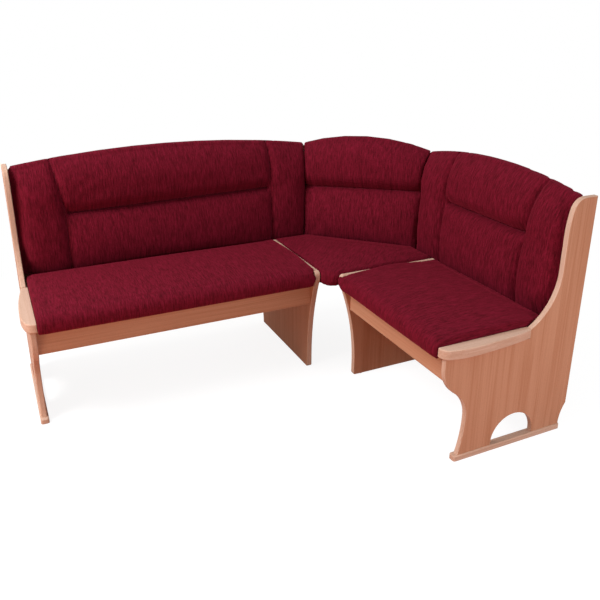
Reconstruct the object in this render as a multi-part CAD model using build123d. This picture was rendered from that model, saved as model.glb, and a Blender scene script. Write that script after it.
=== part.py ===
# Corner bench: a long and a short upholstered bench on shaped end panels, with a corner seat hung
# between them. Sizes are millimetres.
#
# Each bench is drawn in bench coordinates: X runs along the wall away from the room corner, Y runs
# out from the wall and Z is up. The long bench is placed by a half turn, and the short bench is its
# mirror image across the diagonal of the corner.
import os
from math import asin, cos, degrees, radians, sin, sqrt, tan

from build123d import *

# Reach of each bench, from the room corner to the outer face of its end panel
long_reach = 1676.0
short_reach = 1269.0

# End panels: a narrow back wing, a scoop down to the arm, and an ogee foot
end_panel_t = 19.0
end_height = 850.0
wing_flat = 45.0
wing_crown_r = 48.0
wing_crown_turn = 75.0
wing_depth = 103.0
scoop_r = 208.0
scoop_turn = 60.0
scoop_end_rise = 2.0
panel_front = 543.0
ogee_top = 352.0
brow_r = 112.0
waist_r = 125.0
ogee_turn = 54.5
flare_r = 480.0
panel_round = 3.5

# Half-moon cut-out in the foot of each end panel
arch_centre = 236.0
arch_r = 90.0
arch_leg = 9.0

# Clearance behind the panels for a skirting board
skirting_depth = 23.0
skirting_height = 100.0

# Floor glides and the foot rail under each end panel
glide_t = 1.5
glide_d = 18.0
foot_rail_h = 19.0
foot_rail_overhang = 5.0
foot_rail_toe = 14.0
foot_rail_heel = 5.0
foot_rail_round = 4.0

# Arm blocks: lens-shaped caps that bulge past the outer face of the end panels
arm_top = 426.0
arm_t = 33.0
arm_bulge = 22.0
arm_overlap = 4.0
arm_front = 556.0
arm_shoulder_r = 300.0
arm_shoulder_turn = 14.7
arm_nose_r = 33.5
arm_round = 4.0

# Corner panels: the inner end of each bench, beside the corner seat
corner_panel_t = 22.0
corner_panel_reach = 639.0
corner_panel_top = 445.0
corner_panel_front = 564.0
corner_panel_foot = 497.0
corner_panel_nose_r = 14.0
corner_panel_sweep_low = 55.0
corner_panel_sweep_high = 410.0
corner_panel_toe_r = 8.0
corner_panel_round = 3.0
shelf_gap = 3.0
board_step_gap = 4.0

# Seat frame: front aprons and rear rails of one height, with cleats between them
seat_frame_top = 384.0
apron_h = 88.0
apron_t = 22.0
apron_front = 522.0
apron_round = 3.0
rear_rail_t = 19.0
cleat_size = 25.0
cleat_end_gap = 2.0
corner_rail_inset = 14.0

# Seat boards and the bench seat cushions
seat_board_t = 16.0
seat_board_front = 545.0
corner_board_setback = 52.0
board_gap = 1.0
seat_front = 572.0
seat_rear = 128.0
seat_thickness = 56.0
seat_crown = 7.0
seat_lip_below = 2.5
seat_nose_height = 31.0
seat_nose_run = 34.0
seat_tail_run = 12.0
seat_tail_drop = 5.0
seat_tail_bulge = 2.0
seat_tail_depth = 16.0
seat_end_drop = 8.0
seat_end_setback = 7.0
seat_end_run = 24.0
seat_full_drop = 2.0
seat_full_setback = 2.0
chin_run = 0.8
chin_rise = 0.35
cheek_run = 0.24

# Corner seat cushion: drawn in at its base, rounded at its shoulder, crowned on top
corner_seat_cut = 51.0
corner_seat_bow = 14.0
corner_seat_tuck = 6.0
corner_seat_waist = 20.0
corner_shoulder_drop = 16.0
corner_shoulder_inset = 1.0
corner_brow_drop = 3.0
corner_brow_inset = 10.0
corner_crown_share = 0.47
corner_seat_back_gap = 9.0
corner_step_gap = 3.0

# Backs: boards with an arched top, and cushions with a sewn cross channel and two upright channels
back_end_height = 845.0
back_peak_height = 890.0
back_board_rear = 20.0
back_board_t = 18.0
back_board_bottom = 300.0
back_cap = 10.0
back_cap_gap = 3.0
back_foot_height = 415.0
back_foot_depth = 118.0
lower_bulge_depth = 130.0
upper_bulge_depth = 113.0
back_top_depth = 60.0
back_shoulder_drop = 7.0
back_hem_drop = 5.0
back_seam_height = 676.0
back_seam_depth = 96.0
back_side_field = 168.0
side_field_fill = 24.0
channel_depth = 14.0
back_end_depth = 18.0
channel_run = 30.0
field_ease = 2.0
corner_back_setback = 300.0
lining_t = 1.2
lining_inset = 16.0
lining_gap = 2.0

# Fasteners
dowel_d = 8.0
dowel_l = 36.0
dowel_in_panel = 13.0
cam_d = 15.0
cam_t = 12.5
cam_inset = 34.0
cam_bolt_d = 6.0
cam_bolt_in_panel = 11.0
screw_d = 4.0
screw_head_d = 7.5
screw_head_h = 2.2
screw_bite = 11.0
screw_sink = 1.0
foot_screw_from_end = 44.0
foot_screw_from_arch = 32.0
bracket_t = 2.0
bracket_leg = 30.0
bracket_h = 36.0
bracket_above_foot = 105.0
bracket_above_seam = 65.0
strap_t = 2.5
strap_leg = 60.0
strap_h = 40.0
strap_above_foot = 55.0
strap_above_seam = 85.0

# Places of fasteners, as shares of the run that they are spread over
arm_dowel_shares = (0.2, 0.5, 0.8)
cleat_screw_shares = (0.1, 0.45, 0.8)
corner_cleat_shift = 0.06
seat_screw_shares = (0.25, 0.65)
back_screw_shares = (0.12, 0.38, 0.62, 0.88)
bracket_screw_share = 0.72
strap_screw_shares = (0.4, 0.8)

# Clearances
soft_gap = 0.3
cushion_side_gap = 2.0
fit_gap = 0.05
end_gap = 0.5

# Levels and depths that follow from the sizes above
foot_rail_top = glide_t + foot_rail_h
arm_bottom = arm_top - arm_t
arm_rear = wing_depth + scoop_r * (1 - cos(radians(scoop_turn)))
seat_board_top = seat_frame_top + seat_board_t
seat_top = seat_board_top + seat_thickness
apron_bottom = seat_frame_top - apron_h
apron_rear = apron_front - apron_t
back_board_front = back_board_rear + back_board_t
lining_rear = back_board_rear - lining_t
rail_front = back_board_front + rear_rail_t
back_screw_height = (back_board_bottom + seat_frame_top) / 2
back_screw_l = back_board_t + screw_bite
corner_bay = corner_panel_reach - corner_panel_t
mitre_turn = 22.5
mitre_start = sqrt(2) * (corner_back_setback + back_board_front) - back_board_front
corner_half_width = (mitre_start - back_board_front) / sqrt(2)

# The part's origin is the middle of its footprint, on the floor
origin_shift = Pos((long_reach + arm_bulge) / 2, (short_reach + arm_bulge) / 2, 0)
half_turn = Rot(0, 0, 180)
diagonal = Plane(origin=(0, 0, 0), x_dir=(0, 0, 1), z_dir=(1, -1, 0))
corner_place = Rot(0, 0, -45) * Pos(0, corner_back_setback, 0)

nodes = {}


def place_long(shape):
    """Bench coordinates to the part's frame, for the long bench and the corner."""
    return origin_shift * half_turn * shape


def place_short(shape):
    """Bench coordinates to the part's frame, mirrored for the short bench."""
    return origin_shift * half_turn * shape.mirror(diagonal)


def place_corner(shape):
    """The corner back's own coordinates, square to its board, to the part's frame."""
    return place_long(corner_place * shape)


def add(name, place, shapes):
    """Puts solids into a node."""
    nodes.setdefault(name, []).extend(place(solid) for shape in shapes for solid in shape.solids())


def slab(edges, start, thickness):
    """A board of constant thickness along X, from its outline in Y and Z."""
    return extrude(Plane.YZ.offset(start) * make_face(edges), thickness, dir=(1, 0, 0)).solid()


def block(x0, x1, y0, y1, z0, z1):
    """A square-edged bar between two corners."""
    return Solid.make_box(x1 - x0, y1 - y0, z1 - z0, Plane(origin=(x0, y0, z0)))


def rod(start, direction, diameter, length):
    """A round bar from a start point along a direction."""
    return Solid.make_cylinder(diameter / 2, length, Plane(origin=start, z_dir=direction))


def screw(seat, direction, length):
    """A pan-head screw: the head stands on its seat and the shank runs along the direction."""
    back = tuple(-c for c in direction)
    head = rod(seat, back, screw_head_d, screw_head_h)
    return (rod(seat, direction, screw_d, length) + head).solid()


def screw_bore(seat, direction, length):
    """The hole that a screw's shank fills."""
    return rod(seat, direction, screw_d + 2 * fit_gap, length + end_gap)


def dowel_bore(start, direction, length):
    """The hole that one end of a dowel fills."""
    return rod(start, direction, dowel_d + 2 * fit_gap, length + end_gap)


def edges_near(solid, points):
    """The edges of a solid that pass through any of the given points."""
    return [edge for edge in solid.edges() if any(edge.distance_to(Vertex(*p)) < 0.01 for p in points)]


def both_faces(curves, x0, x1):
    """The middle of each outline curve, on both faces of a slab."""
    return [(x, (c @ 0.5).X, (c @ 0.5).Y) for c in curves for x in (x0, x1)]


def heel_curve(base):
    """The curved cut-away behind a panel's foot, from its base up to the full depth at the wall."""
    rise = skirting_height - base
    radius = (rise**2 + skirting_depth**2) / (2 * skirting_depth)
    return JernArc((skirting_depth, base), (0, 1), radius, degrees(asin(rise / radius)))


def arch_height(x, x0, x1):
    """Height of a back's arched top at one place between its two ends."""
    half = (x1 - x0) / 2
    rise = back_peak_height - back_end_height
    radius = (half**2 + rise**2) / (2 * rise)
    return back_peak_height - radius + sqrt(radius**2 - (x - x0 - half) ** 2)


def end_panel(inner):
    """The outer end of a bench, with its back wing, arm seat, ogee front and half-moon foot."""
    top = Line((0, end_height), (wing_flat, end_height))
    crown = JernArc(top @ 1, (1, 0), wing_crown_r, -wing_crown_turn)
    ease_turn = 90 - wing_crown_turn
    ease_r = (wing_depth - (crown @ 1).X) / (1 - cos(radians(ease_turn)))
    ease = JernArc(crown @ 1, crown % 1, ease_r, -ease_turn)
    scoop_start = arm_top + scoop_end_rise + scoop_r * sin(radians(scoop_turn))
    wing = Line(ease @ 1, (wing_depth, scoop_start))
    scoop = JernArc(wing @ 1, (0, -1), scoop_r, scoop_turn)
    arm_back = Line(scoop @ 1, (arm_rear, arm_bottom))
    arm_seat = Line(arm_back @ 1, (panel_front, arm_bottom))
    front = Line(arm_seat @ 1, (panel_front, ogee_top))
    brow = JernArc(front @ 1, (0, -1), brow_r, -ogee_turn)
    waist = JernArc(brow @ 1, brow % 1, waist_r, ogee_turn)
    flare_turn = degrees(asin(((waist @ 1).Y - foot_rail_top) / flare_r))
    flare = JernArc(waist @ 1, (0, -1), flare_r, flare_turn)
    spring = foot_rail_top + arch_leg
    toe = Line(flare @ 1, (arch_centre + arch_r, foot_rail_top))
    leg_front = Line(toe @ 1, (arch_centre + arch_r, spring))
    crown_of_arch = (arch_centre, spring + arch_r)
    arch = ThreePointArc(leg_front @ 1, crown_of_arch, (arch_centre - arch_r, spring))
    leg_rear = Line(arch @ 1, (arch_centre - arch_r, foot_rail_top))
    sole = Line(leg_rear @ 1, (skirting_depth, foot_rail_top))
    heel = heel_curve(foot_rail_top)
    rear = Line(heel @ 1, (0, end_height))
    outline = [top, crown, ease, wing, scoop, arm_back, arm_seat, front, brow, waist, flare]
    outline += [toe, leg_front, arch, leg_rear, sole, heel, rear]
    panel = slab(outline, inner, end_panel_t)
    soft = [top, crown, ease, wing, scoop, front, brow, waist, flare]
    rounded = both_faces(soft, inner, inner + end_panel_t)
    return fillet(edges_near(panel, rounded), panel_round).solid(), (flare @ 1).X


def foot_rail(inner, toe):
    """The rail under an end panel, a little proud of both its faces."""
    rail = block(
        inner - foot_rail_overhang,
        inner + end_panel_t + foot_rail_overhang,
        skirting_depth - foot_rail_heel,
        toe + foot_rail_toe,
        glide_t,
        foot_rail_top,
    )
    uprights = rail.edges().filter_by(Axis.Z)
    rail = fillet(uprights, 2 * foot_rail_round).solid()
    return fillet(rail.faces().sort_by(Axis.Z)[-1].edges(), foot_rail_round).solid()


def arm_block(inner):
    """The solid cap on an end panel, a little proud inside and bulging outside."""
    widest_x = inner + end_panel_t + arm_bulge
    inside_x = inner - arm_overlap
    turn = radians(arm_shoulder_turn)
    widest = arm_front - arm_shoulder_r * sin(turn) - arm_nose_r * (1 - sin(turn))
    reach = widest - arm_rear
    rear_r = (reach**2 + arm_bulge**2) / (2 * arm_bulge)
    tail = JernArc((widest_x, widest), (0, -1), rear_r, -degrees(asin(reach / rear_r)))
    shoulder = JernArc((widest_x, widest), (0, 1), arm_shoulder_r, arm_shoulder_turn)
    nose = JernArc(shoulder @ 1, shoulder % 1, arm_nose_r, 90 - arm_shoulder_turn)
    front = Line(nose @ 1, (inside_x, arm_front))
    inside = Line(front @ 1, (inside_x, arm_rear))
    rear = Line(inside @ 1, tail @ 1)
    plan = make_face([tail, shoulder, nose, front, inside, rear])
    cap = extrude(Pos(0, 0, arm_bottom) * plan, arm_t, dir=(0, 0, 1)).solid()
    middles = [c @ 0.5 for c in (tail, shoulder, nose)]
    rims = [(m.X, m.Y, z) for m in middles for z in (arm_bottom, arm_top)]
    return fillet(edges_near(cap, rims), arm_round).solid()


def corner_panel():
    """The inner end of a bench: stepped at the rear for the back, swept in towards its foot."""
    shelf = back_foot_height - shelf_gap
    low_step = back_board_bottom - board_step_gap
    board_step = back_board_front + board_gap
    seat_step = seat_rear + corner_step_gap
    rise = corner_panel_sweep_high - corner_panel_sweep_low
    run = corner_panel_front - corner_panel_foot
    sweep_r = (rise**2 + run**2) / (2 * run)
    sweep_turn = degrees(asin(rise / sweep_r))
    heel = heel_curve(glide_t)
    rear = Polyline(
        heel @ 1,
        (0, low_step),
        (board_step, low_step),
        (board_step, shelf),
        (seat_step, shelf),
        (seat_step, corner_panel_top),
    )
    top = Line(rear @ 1, (corner_panel_front - corner_panel_nose_r, corner_panel_top))
    nose = JernArc(top @ 1, (1, 0), corner_panel_nose_r, -90)
    front = Line(nose @ 1, (corner_panel_front, corner_panel_sweep_high))
    sweep = JernArc((corner_panel_foot, corner_panel_sweep_low), (0, 1), sweep_r, -sweep_turn)
    shin = Line(sweep @ 0, (corner_panel_foot, glide_t + corner_panel_toe_r))
    toe = JernArc(shin @ 1, (0, -1), corner_panel_toe_r, -90)
    sole = Line(toe @ 1, (skirting_depth, glide_t))
    outline = [heel, *rear.edges(), top, nose, front, sweep, shin, toe, sole]
    panel = slab(outline, corner_bay, corner_panel_t)
    rounded = both_faces([top, nose, front, sweep, shin, toe], corner_bay, corner_panel_reach)
    return fillet(edges_near(panel, rounded), corner_panel_round).solid()


def apron(inner):
    """The front rail under a seat, with softened front edges."""
    bar = block(corner_panel_reach, inner, apron_rear, apron_front, apron_bottom, seat_frame_top)
    front_edges = bar.faces().sort_by(Axis.Y)[-1].edges().filter_by(Axis.X)
    return fillet(front_edges, apron_round).solid()


def seat_section(x, front, top):
    """Cross-section of a seat cushion: flat on its board, lipped over the front, crowned on top."""
    base = seat_board_top + soft_gap
    lip = seat_board_front + soft_gap
    lip_bottom = seat_frame_top - seat_lip_below
    chin_middle = (lip + chin_run * (front - lip), lip_bottom + chin_rise * seat_nose_height)
    nose = (front, lip_bottom + seat_nose_height)
    cheek_middle = (front - cheek_run * seat_nose_run, (nose[1] + 2 * top) / 3)
    brow = (front - seat_nose_run, top)
    rear_top = (seat_rear + seat_tail_run, top - seat_tail_drop)
    crest_middle = ((brow[0] + rear_top[0]) / 2, top + seat_crown)
    tail_middle = (seat_rear + seat_tail_bulge, top - seat_tail_depth)
    under = Line((seat_rear, base), (lip, base))
    inside = Line(under @ 1, (lip, lip_bottom))
    chin = ThreePointArc(inside @ 1, chin_middle, nose)
    cheek = ThreePointArc(nose, cheek_middle, brow)
    crest = ThreePointArc(brow, crest_middle, rear_top)
    tail = ThreePointArc(rear_top, tail_middle, (seat_rear, base))
    return Plane.YZ.offset(x) * make_face([under, inside, chin, cheek, crest, tail])


def seat_cushion(x0, x1):
    """A bench's seat cushion, drawn in at both ends."""
    end = (seat_front - seat_end_setback, seat_top - seat_end_drop)
    full = (seat_front - seat_full_setback, seat_top - seat_full_drop)
    sections = [
        seat_section(x0, *end),
        seat_section(x0 + seat_end_run, *full),
        seat_section((x0 + x1) / 2, seat_front, seat_top),
        seat_section(x1 - seat_end_run, *full),
        seat_section(x1, *end),
    ]
    return loft(sections, ruled=True).solid()


def corner_seat_outline(z, side, front, rear, diagonal_rear):
    """Plan of the corner seat: square at the panels, bowed in front, cut off by the corner back."""
    bow = (side + front) / 2 + corner_seat_bow / sqrt(2)
    edges = [
        Line((side, rear), (side, front)),
        ThreePointArc((side, front), (bow, bow), (front, side)),
        *Polyline((front, side), (rear, side), (rear, diagonal_rear - rear)).edges(),
        *Polyline((rear, diagonal_rear - rear), (diagonal_rear - rear, rear), (side, rear)).edges(),
    ]
    return Pos(0, 0, z) * make_face(edges)


def corner_seat_cushion():
    """The corner seat's cushion. Its crown draws in by a share of the outline's shortest side."""
    side = corner_bay - cushion_side_gap
    front = side - corner_seat_cut
    rear = seat_rear + corner_step_gap
    back = sqrt(2) * (corner_back_setback + back_foot_depth) + corner_seat_back_gap
    base = seat_board_top + soft_gap
    crown_inset = corner_crown_share * (side - (back - rear))
    levels = (
        (base, corner_seat_tuck),
        (base + corner_seat_waist, 0),
        (seat_top - corner_shoulder_drop, corner_shoulder_inset),
        (seat_top - corner_brow_drop, corner_brow_inset),
        (seat_top + seat_crown, crown_inset),
    )
    sections = [
        corner_seat_outline(z, side - inset, front - inset, rear + inset, back + sqrt(2) * inset)
        for z, inset in levels
    ]
    return loft(sections, ruled=True).solid()


def back_section(x, top, swell, fill):
    """Cross-section of a back cushion: drawn in by swell, and filled out at the cross seam by fill."""
    front_of_board = back_board_front + soft_gap
    board_top = top - back_cap + soft_gap
    foot = (back_foot_depth - swell, back_foot_height)
    waist = (back_seam_depth + fill, back_seam_height)
    shoulder = (back_top_depth, top - back_shoulder_drop)
    rear_top = (lining_rear, top - back_hem_drop)
    lower_middle = (lower_bulge_depth - swell, (back_foot_height + back_seam_height) / 2)
    upper_middle = (upper_bulge_depth - swell, (back_seam_height + top) / 2)
    under = Line((front_of_board, back_foot_height), foot)
    lower = ThreePointArc(foot, lower_middle, waist)
    upper = ThreePointArc(waist, upper_middle, shoulder)
    crest = ThreePointArc(shoulder, ((back_top_depth + lining_rear) / 2, top), rear_top)
    hem = Line(rear_top, (lining_rear, board_top))
    over = Line(hem @ 1, (front_of_board, board_top))
    inside = Line(over @ 1, (front_of_board, back_foot_height))
    return Plane.YZ.offset(x) * make_face([under, lower, upper, crest, hem, over, inside])


def field_sections(x0, x1, arch, swells, fill):
    """Sections across one field of a back, fullest in its middle and drawn in at its edges."""
    edge = channel_run / (x1 - x0)
    middle = [(share, 0) for share in (0.2, 0.35, 0.5, 0.65, 0.8)]
    stations = [(0, swells[0]), (edge, field_ease), *middle, (1 - edge, field_ease), (1, swells[1])]
    sections = []
    for share, swell in stations:
        x = x0 + (x1 - x0) * share
        sections.append(back_section(x, arch_height(x, *arch), swell, fill - min(swell, fill)))
    return sections


def back_cushion(x0, x1, seams, arch):
    """A back cushion with plain side fields and, between the upright channels, a cross channel."""
    bounds = [x0, *seams, x1]
    last = len(bounds) - 2
    sections = []
    for i, (a, b) in enumerate(zip(bounds, bounds[1:])):
        first_swell = back_end_depth if i == 0 else channel_depth
        last_swell = back_end_depth if i == last else channel_depth
        crossed = not seams or 0 < i < last
        field = field_sections(a, b, arch, (first_swell, last_swell), 0 if crossed else side_field_fill)
        sections += field if i == 0 else field[1:]
    return loft(sections, ruled=True).solid()


def back_board(x0, x1, y0, y1, z0, inset, arch):
    """A sheet with an arched top that follows a back's arch."""
    peak = (arch[0] + arch[1]) / 2
    tops = [(x, arch_height(x, *arch) - inset) for x in (x0, peak, x1)]
    edges = [
        *Polyline(tops[0], (x0, z0), (x1, z0), tops[2]).edges(),
        ThreePointArc(tops[2], tops[1], tops[0]),
    ]
    face = Plane(origin=(0, y0, 0), x_dir=(1, 0, 0), z_dir=(0, -1, 0)) * make_face(edges)
    return extrude(face, y1 - y0, dir=(0, 1, 0)).solid()


def bench_mitre(gap):
    """What lies past the mitre between a bench back and the corner back, on the corner's side."""
    size = 2 * end_height
    cutter = Pos(gap - size / 2, 0, size / 2) * Box(size, size, 2 * size)
    return Pos(mitre_start, back_board_front, 0) * Rot(0, 0, -mitre_turn) * cutter


def corner_mitres(gap):
    """What lies past both mitres of the corner back."""
    size = 2 * end_height
    cutter = Pos(size / 2 - gap, 0, size / 2) * Box(size, size, 2 * size)
    right = Pos(corner_half_width, back_board_front, 0) * Rot(0, 0, mitre_turn) * cutter
    return [right, right.mirror(Plane.YZ)]


def strap():
    """A bent steel strap over the rear of a bench back and the corner back, at its lower edge Z = 0."""
    bend = sqrt(2) * (corner_back_setback + lining_rear) - lining_rear
    leg = strap_leg / sqrt(2)
    step = strap_t / sqrt(2)
    plan = Polyline(
        (bend + strap_leg, lining_rear - strap_t),
        (bend + strap_leg, lining_rear),
        (bend, lining_rear),
        (bend - leg, lining_rear + leg),
        (bend - leg - step, lining_rear + leg - step),
        (bend - tan(radians(mitre_turn)) * strap_t, lining_rear - strap_t),
        close=True,
    )
    return extrude(make_face(plan.edges()), strap_h, dir=(0, 0, 1)).solid(), bend


def build_bench(prefix, reach, place):
    """Every piece of one bench, from its corner panel out to its end panel."""
    inner = reach - end_panel_t
    arm_inner = inner - arm_overlap
    cleat_low = seat_frame_top - cleat_size
    cleat_y = (rail_front + cleat_end_gap, apron_rear - cleat_end_gap)
    cleat_z = (cleat_low, seat_frame_top)
    arch = (mitre_start, inner)
    back_start = mitre_start - back_board_front

    end, toe = end_panel(inner)
    corner = corner_panel()
    rail = foot_rail(inner, toe)
    arm = arm_block(inner)
    front_apron = apron(inner)
    rear_rail = block(corner_panel_reach, inner, back_board_front, rail_front, apron_bottom, seat_frame_top)
    outer_cleat = block(inner - cleat_size, inner, *cleat_y, *cleat_z)
    inner_cleat = block(corner_panel_reach, corner_panel_reach + cleat_size, *cleat_y, *cleat_z)
    corner_cleat = block(corner_bay - cleat_size, corner_bay, *cleat_y, *cleat_z)
    seat_board = block(
        corner_panel_reach + board_gap,
        arm_inner - board_gap,
        back_board_front + board_gap,
        seat_board_front,
        seat_frame_top,
        seat_board_top,
    )
    seat = seat_cushion(corner_panel_reach + cushion_side_gap, arm_inner - cushion_side_gap)
    board_y = (back_board_rear, back_board_front)
    board = back_board(back_start, inner, *board_y, back_board_bottom, back_cap + back_cap_gap, arch)
    board = (board - bench_mitre(end_gap)).solid()
    lining_y = (lining_rear, back_board_rear)
    lining = back_board(back_start, inner - lining_inset, *lining_y, seat_board_top, lining_inset, arch)
    lining = (lining - bench_mitre(lining_gap)).solid()
    seams = [mitre_start + back_side_field + back_board_t, inner - back_side_field]
    cushion = back_cushion(back_start, inner - cushion_side_gap, seams, arch)
    cushion = (cushion - bench_mitre(cushion_side_gap)).solid()

    # Dowels and cam fittings at the ends of the apron and the rear rail
    dowels, cams, bolts = [], [], []
    bolt_d = cam_bolt_d + 2 * fit_gap
    for y0, y1 in ((apron_rear, apron_front), (back_board_front, rail_front)):
        y = (y0 + y1) / 2
        in_apron = y0 == apron_rear
        face = y0 if in_apron else y1
        into = 1 if in_apron else -1
        for joint, out in ((inner, 1), (corner_panel_reach, -1)):
            panel_bores, rail_bores = [], []
            for z in (apron_bottom + apron_h / 4, seat_frame_top - apron_h / 4):
                dowels.append(rod((joint + out * dowel_in_panel, y, z), (-out, 0, 0), dowel_d, dowel_l))
                rail_bores.append(dowel_bore((joint, y, z), (-out, 0, 0), dowel_l - dowel_in_panel))
                panel_bores.append(dowel_bore((joint, y, z), (out, 0, 0), dowel_in_panel))
            z = apron_bottom + apron_h / 2
            cam_x = joint - out * cam_inset
            bolt_start = (joint + out * cam_bolt_in_panel, y, z)
            bolts.append(rod(bolt_start, (-out, 0, 0), cam_bolt_d, cam_inset + cam_bolt_in_panel))
            bolt_hole = rod((joint, y, z), (-out, 0, 0), bolt_d, cam_inset + end_gap)
            cams.append((rod((cam_x, face, z), (0, into, 0), cam_d, cam_t) - bolt_hole).solid())
            pocket = rod((cam_x, face, z), (0, into, 0), cam_d + 2 * fit_gap, cam_t + end_gap)
            rail_bores += [pocket, bolt_hole]
            panel_bores.append(rod((joint, y, z), (out, 0, 0), bolt_d, cam_bolt_in_panel + end_gap))
            if in_apron:
                front_apron -= rail_bores
            else:
                rear_rail -= rail_bores
            if out == 1:
                end -= panel_bores
            else:
                corner -= panel_bores

    # Dowels that stand in the end panel and hold the arm block
    arm_dowels = []
    panel_middle = inner + end_panel_t / 2
    for share in arm_dowel_shares:
        y = arm_rear + share * (panel_front - arm_rear)
        arm_dowels.append(rod((panel_middle, y, arm_bottom - dowel_l / 2), (0, 0, 1), dowel_d, dowel_l))
        end -= dowel_bore((panel_middle, y, arm_bottom), (0, 0, -1), dowel_l / 2)
        arm -= dowel_bore((panel_middle, y, arm_bottom), (0, 0, 1), dowel_l / 2)

    # Foot rail screws, sunk in the underside of the rail, and the glides under the feet
    rail_screws = []
    screw_seat = glide_t + screw_head_h + screw_sink
    rail_screw_l = foot_rail_top - screw_seat + 2 * screw_bite
    foot_screw_spots = (
        skirting_depth + foot_screw_from_end,
        arch_centre - arch_r - foot_screw_from_arch,
        arch_centre + arch_r + foot_screw_from_arch,
        toe - foot_screw_from_end,
    )
    for y in foot_screw_spots:
        seat_point = (panel_middle, y, screw_seat)
        rail_screws.append(screw(seat_point, (0, 0, 1), rail_screw_l))
        bore = screw_bore(seat_point, (0, 0, 1), rail_screw_l)
        head_start = (panel_middle, y, glide_t)
        head_room = rod(head_start, (0, 0, 1), screw_head_d + 4 * fit_gap, screw_seat - glide_t)
        rail -= [bore, head_room]
        end -= bore
    corner_middle = (corner_bay + corner_panel_reach) / 2
    glide_spots = (
        (panel_middle, 2 * skirting_depth),
        (panel_middle, toe - glide_d / 2),
        (corner_middle, 2 * skirting_depth),
        (corner_middle, corner_panel_foot - 2 * glide_d),
    )
    glides = [rod((x, y, 0), (0, 0, 1), glide_d, glide_t) for x, y in glide_spots]

    # Cleat screws run into the panels, and seat screws run up through the cleats into the boards
    cleat_screws, seat_screws = [], []
    cleat_run = cleat_y[1] - cleat_y[0]
    cleat_screw_l = cleat_size + screw_bite
    side_bores, lift_bores = {}, {}
    cleat_faces = (("outer", inner, 1), ("inner", corner_panel_reach, -1), ("corner", corner_bay, 1))
    for kind, face, out in cleat_faces:
        shift = corner_cleat_shift if kind == "corner" else 0
        side_bores[kind], lift_bores[kind] = [], []
        for share in cleat_screw_shares:
            y = cleat_y[0] + (share + shift) * cleat_run
            seat_point = (face - out * cleat_size, y, sum(cleat_z) / 2)
            cleat_screws.append(screw(seat_point, (out, 0, 0), cleat_screw_l))
            side_bores[kind].append(screw_bore(seat_point, (out, 0, 0), cleat_screw_l))
        for share in seat_screw_shares:
            seat_point = (face - out * cleat_size / 2, cleat_y[0] + share * cleat_run, cleat_low)
            seat_screws.append(screw(seat_point, (0, 0, 1), cleat_screw_l))
            lift_bores[kind].append(screw_bore(seat_point, (0, 0, 1), cleat_screw_l))
    end -= side_bores["outer"]
    corner -= side_bores["inner"] + side_bores["corner"]
    outer_cleat -= side_bores["outer"] + lift_bores["outer"]
    inner_cleat -= side_bores["inner"] + lift_bores["inner"]
    corner_cleat -= side_bores["corner"] + lift_bores["corner"]
    seat_board -= lift_bores["outer"] + lift_bores["inner"]

    # Back screws run from behind through the back board into the rear rail
    back_screws = []
    for share in back_screw_shares:
        x = corner_panel_reach + share * (inner - corner_panel_reach)
        seat_point = (x, back_board_rear, back_screw_height)
        back_screws.append(screw(seat_point, (0, 1, 0), back_screw_l))
        bore = screw_bore(seat_point, (0, 1, 0), back_screw_l)
        board -= bore
        rear_rail -= bore

    # Angle brackets hold the back board to the end panel
    brackets, bracket_screws = [], []
    bracket_rear = lining_rear - bracket_t
    panel_screw_l = bracket_t + screw_bite
    board_screw_l = bracket_t + lining_t + screw_bite
    for z in (back_foot_height + bracket_above_foot, back_seam_height + bracket_above_seam):
        on_board = block(inner - bracket_leg, inner, bracket_rear, lining_rear, z, z + bracket_h)
        on_panel = block(inner - bracket_t, inner, bracket_t, lining_rear, z, z + bracket_h)
        bracket = (on_board + on_panel).solid()
        middle = z + bracket_h / 2
        panel_seat = (inner - bracket_t, lining_rear / 2, middle)
        bracket_screws.append(screw(panel_seat, (1, 0, 0), panel_screw_l))
        panel_bore = screw_bore(panel_seat, (1, 0, 0), panel_screw_l)
        bracket -= panel_bore
        end -= panel_bore
        for dz in (-bracket_h / 4, bracket_h / 4):
            seat_point = (inner - bracket_screw_share * bracket_leg, bracket_rear, middle + dz)
            bracket_screws.append(screw(seat_point, (0, 1, 0), board_screw_l))
            bore = screw_bore(seat_point, (0, 1, 0), board_screw_l)
            bracket -= bore
            lining -= bore
            board -= bore
        brackets.append(bracket)

    # Bent straps hold the back board to the corner back
    straps, strap_screws, corner_bores = [], [], []
    strap_screw_l = strap_t + lining_t + screw_bite
    for z in (back_foot_height + strap_above_foot, back_seam_height + strap_above_seam):
        piece, bend = strap()
        piece = Pos(0, 0, z) * piece
        for share in strap_screw_shares:
            seat_point = (bend + share * strap_leg, lining_rear - strap_t, z + strap_h / 2)
            strap_screws.append(screw(seat_point, (0, 1, 0), strap_screw_l))
            bore = screw_bore(seat_point, (0, 1, 0), strap_screw_l)
            lining -= bore
            board -= bore
            along = share * strap_leg / sqrt(2)
            off = strap_t / sqrt(2)
            slant = (bend - along - off, lining_rear + along - off, z + strap_h / 2)
            strap_screws.append(screw(slant, (1, 1, 0), strap_screw_l))
            slant_bore = screw_bore(slant, (1, 1, 0), strap_screw_l)
            corner_bores.append(slant_bore)
            piece -= [bore, slant_bore]
        straps.append(piece)

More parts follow.
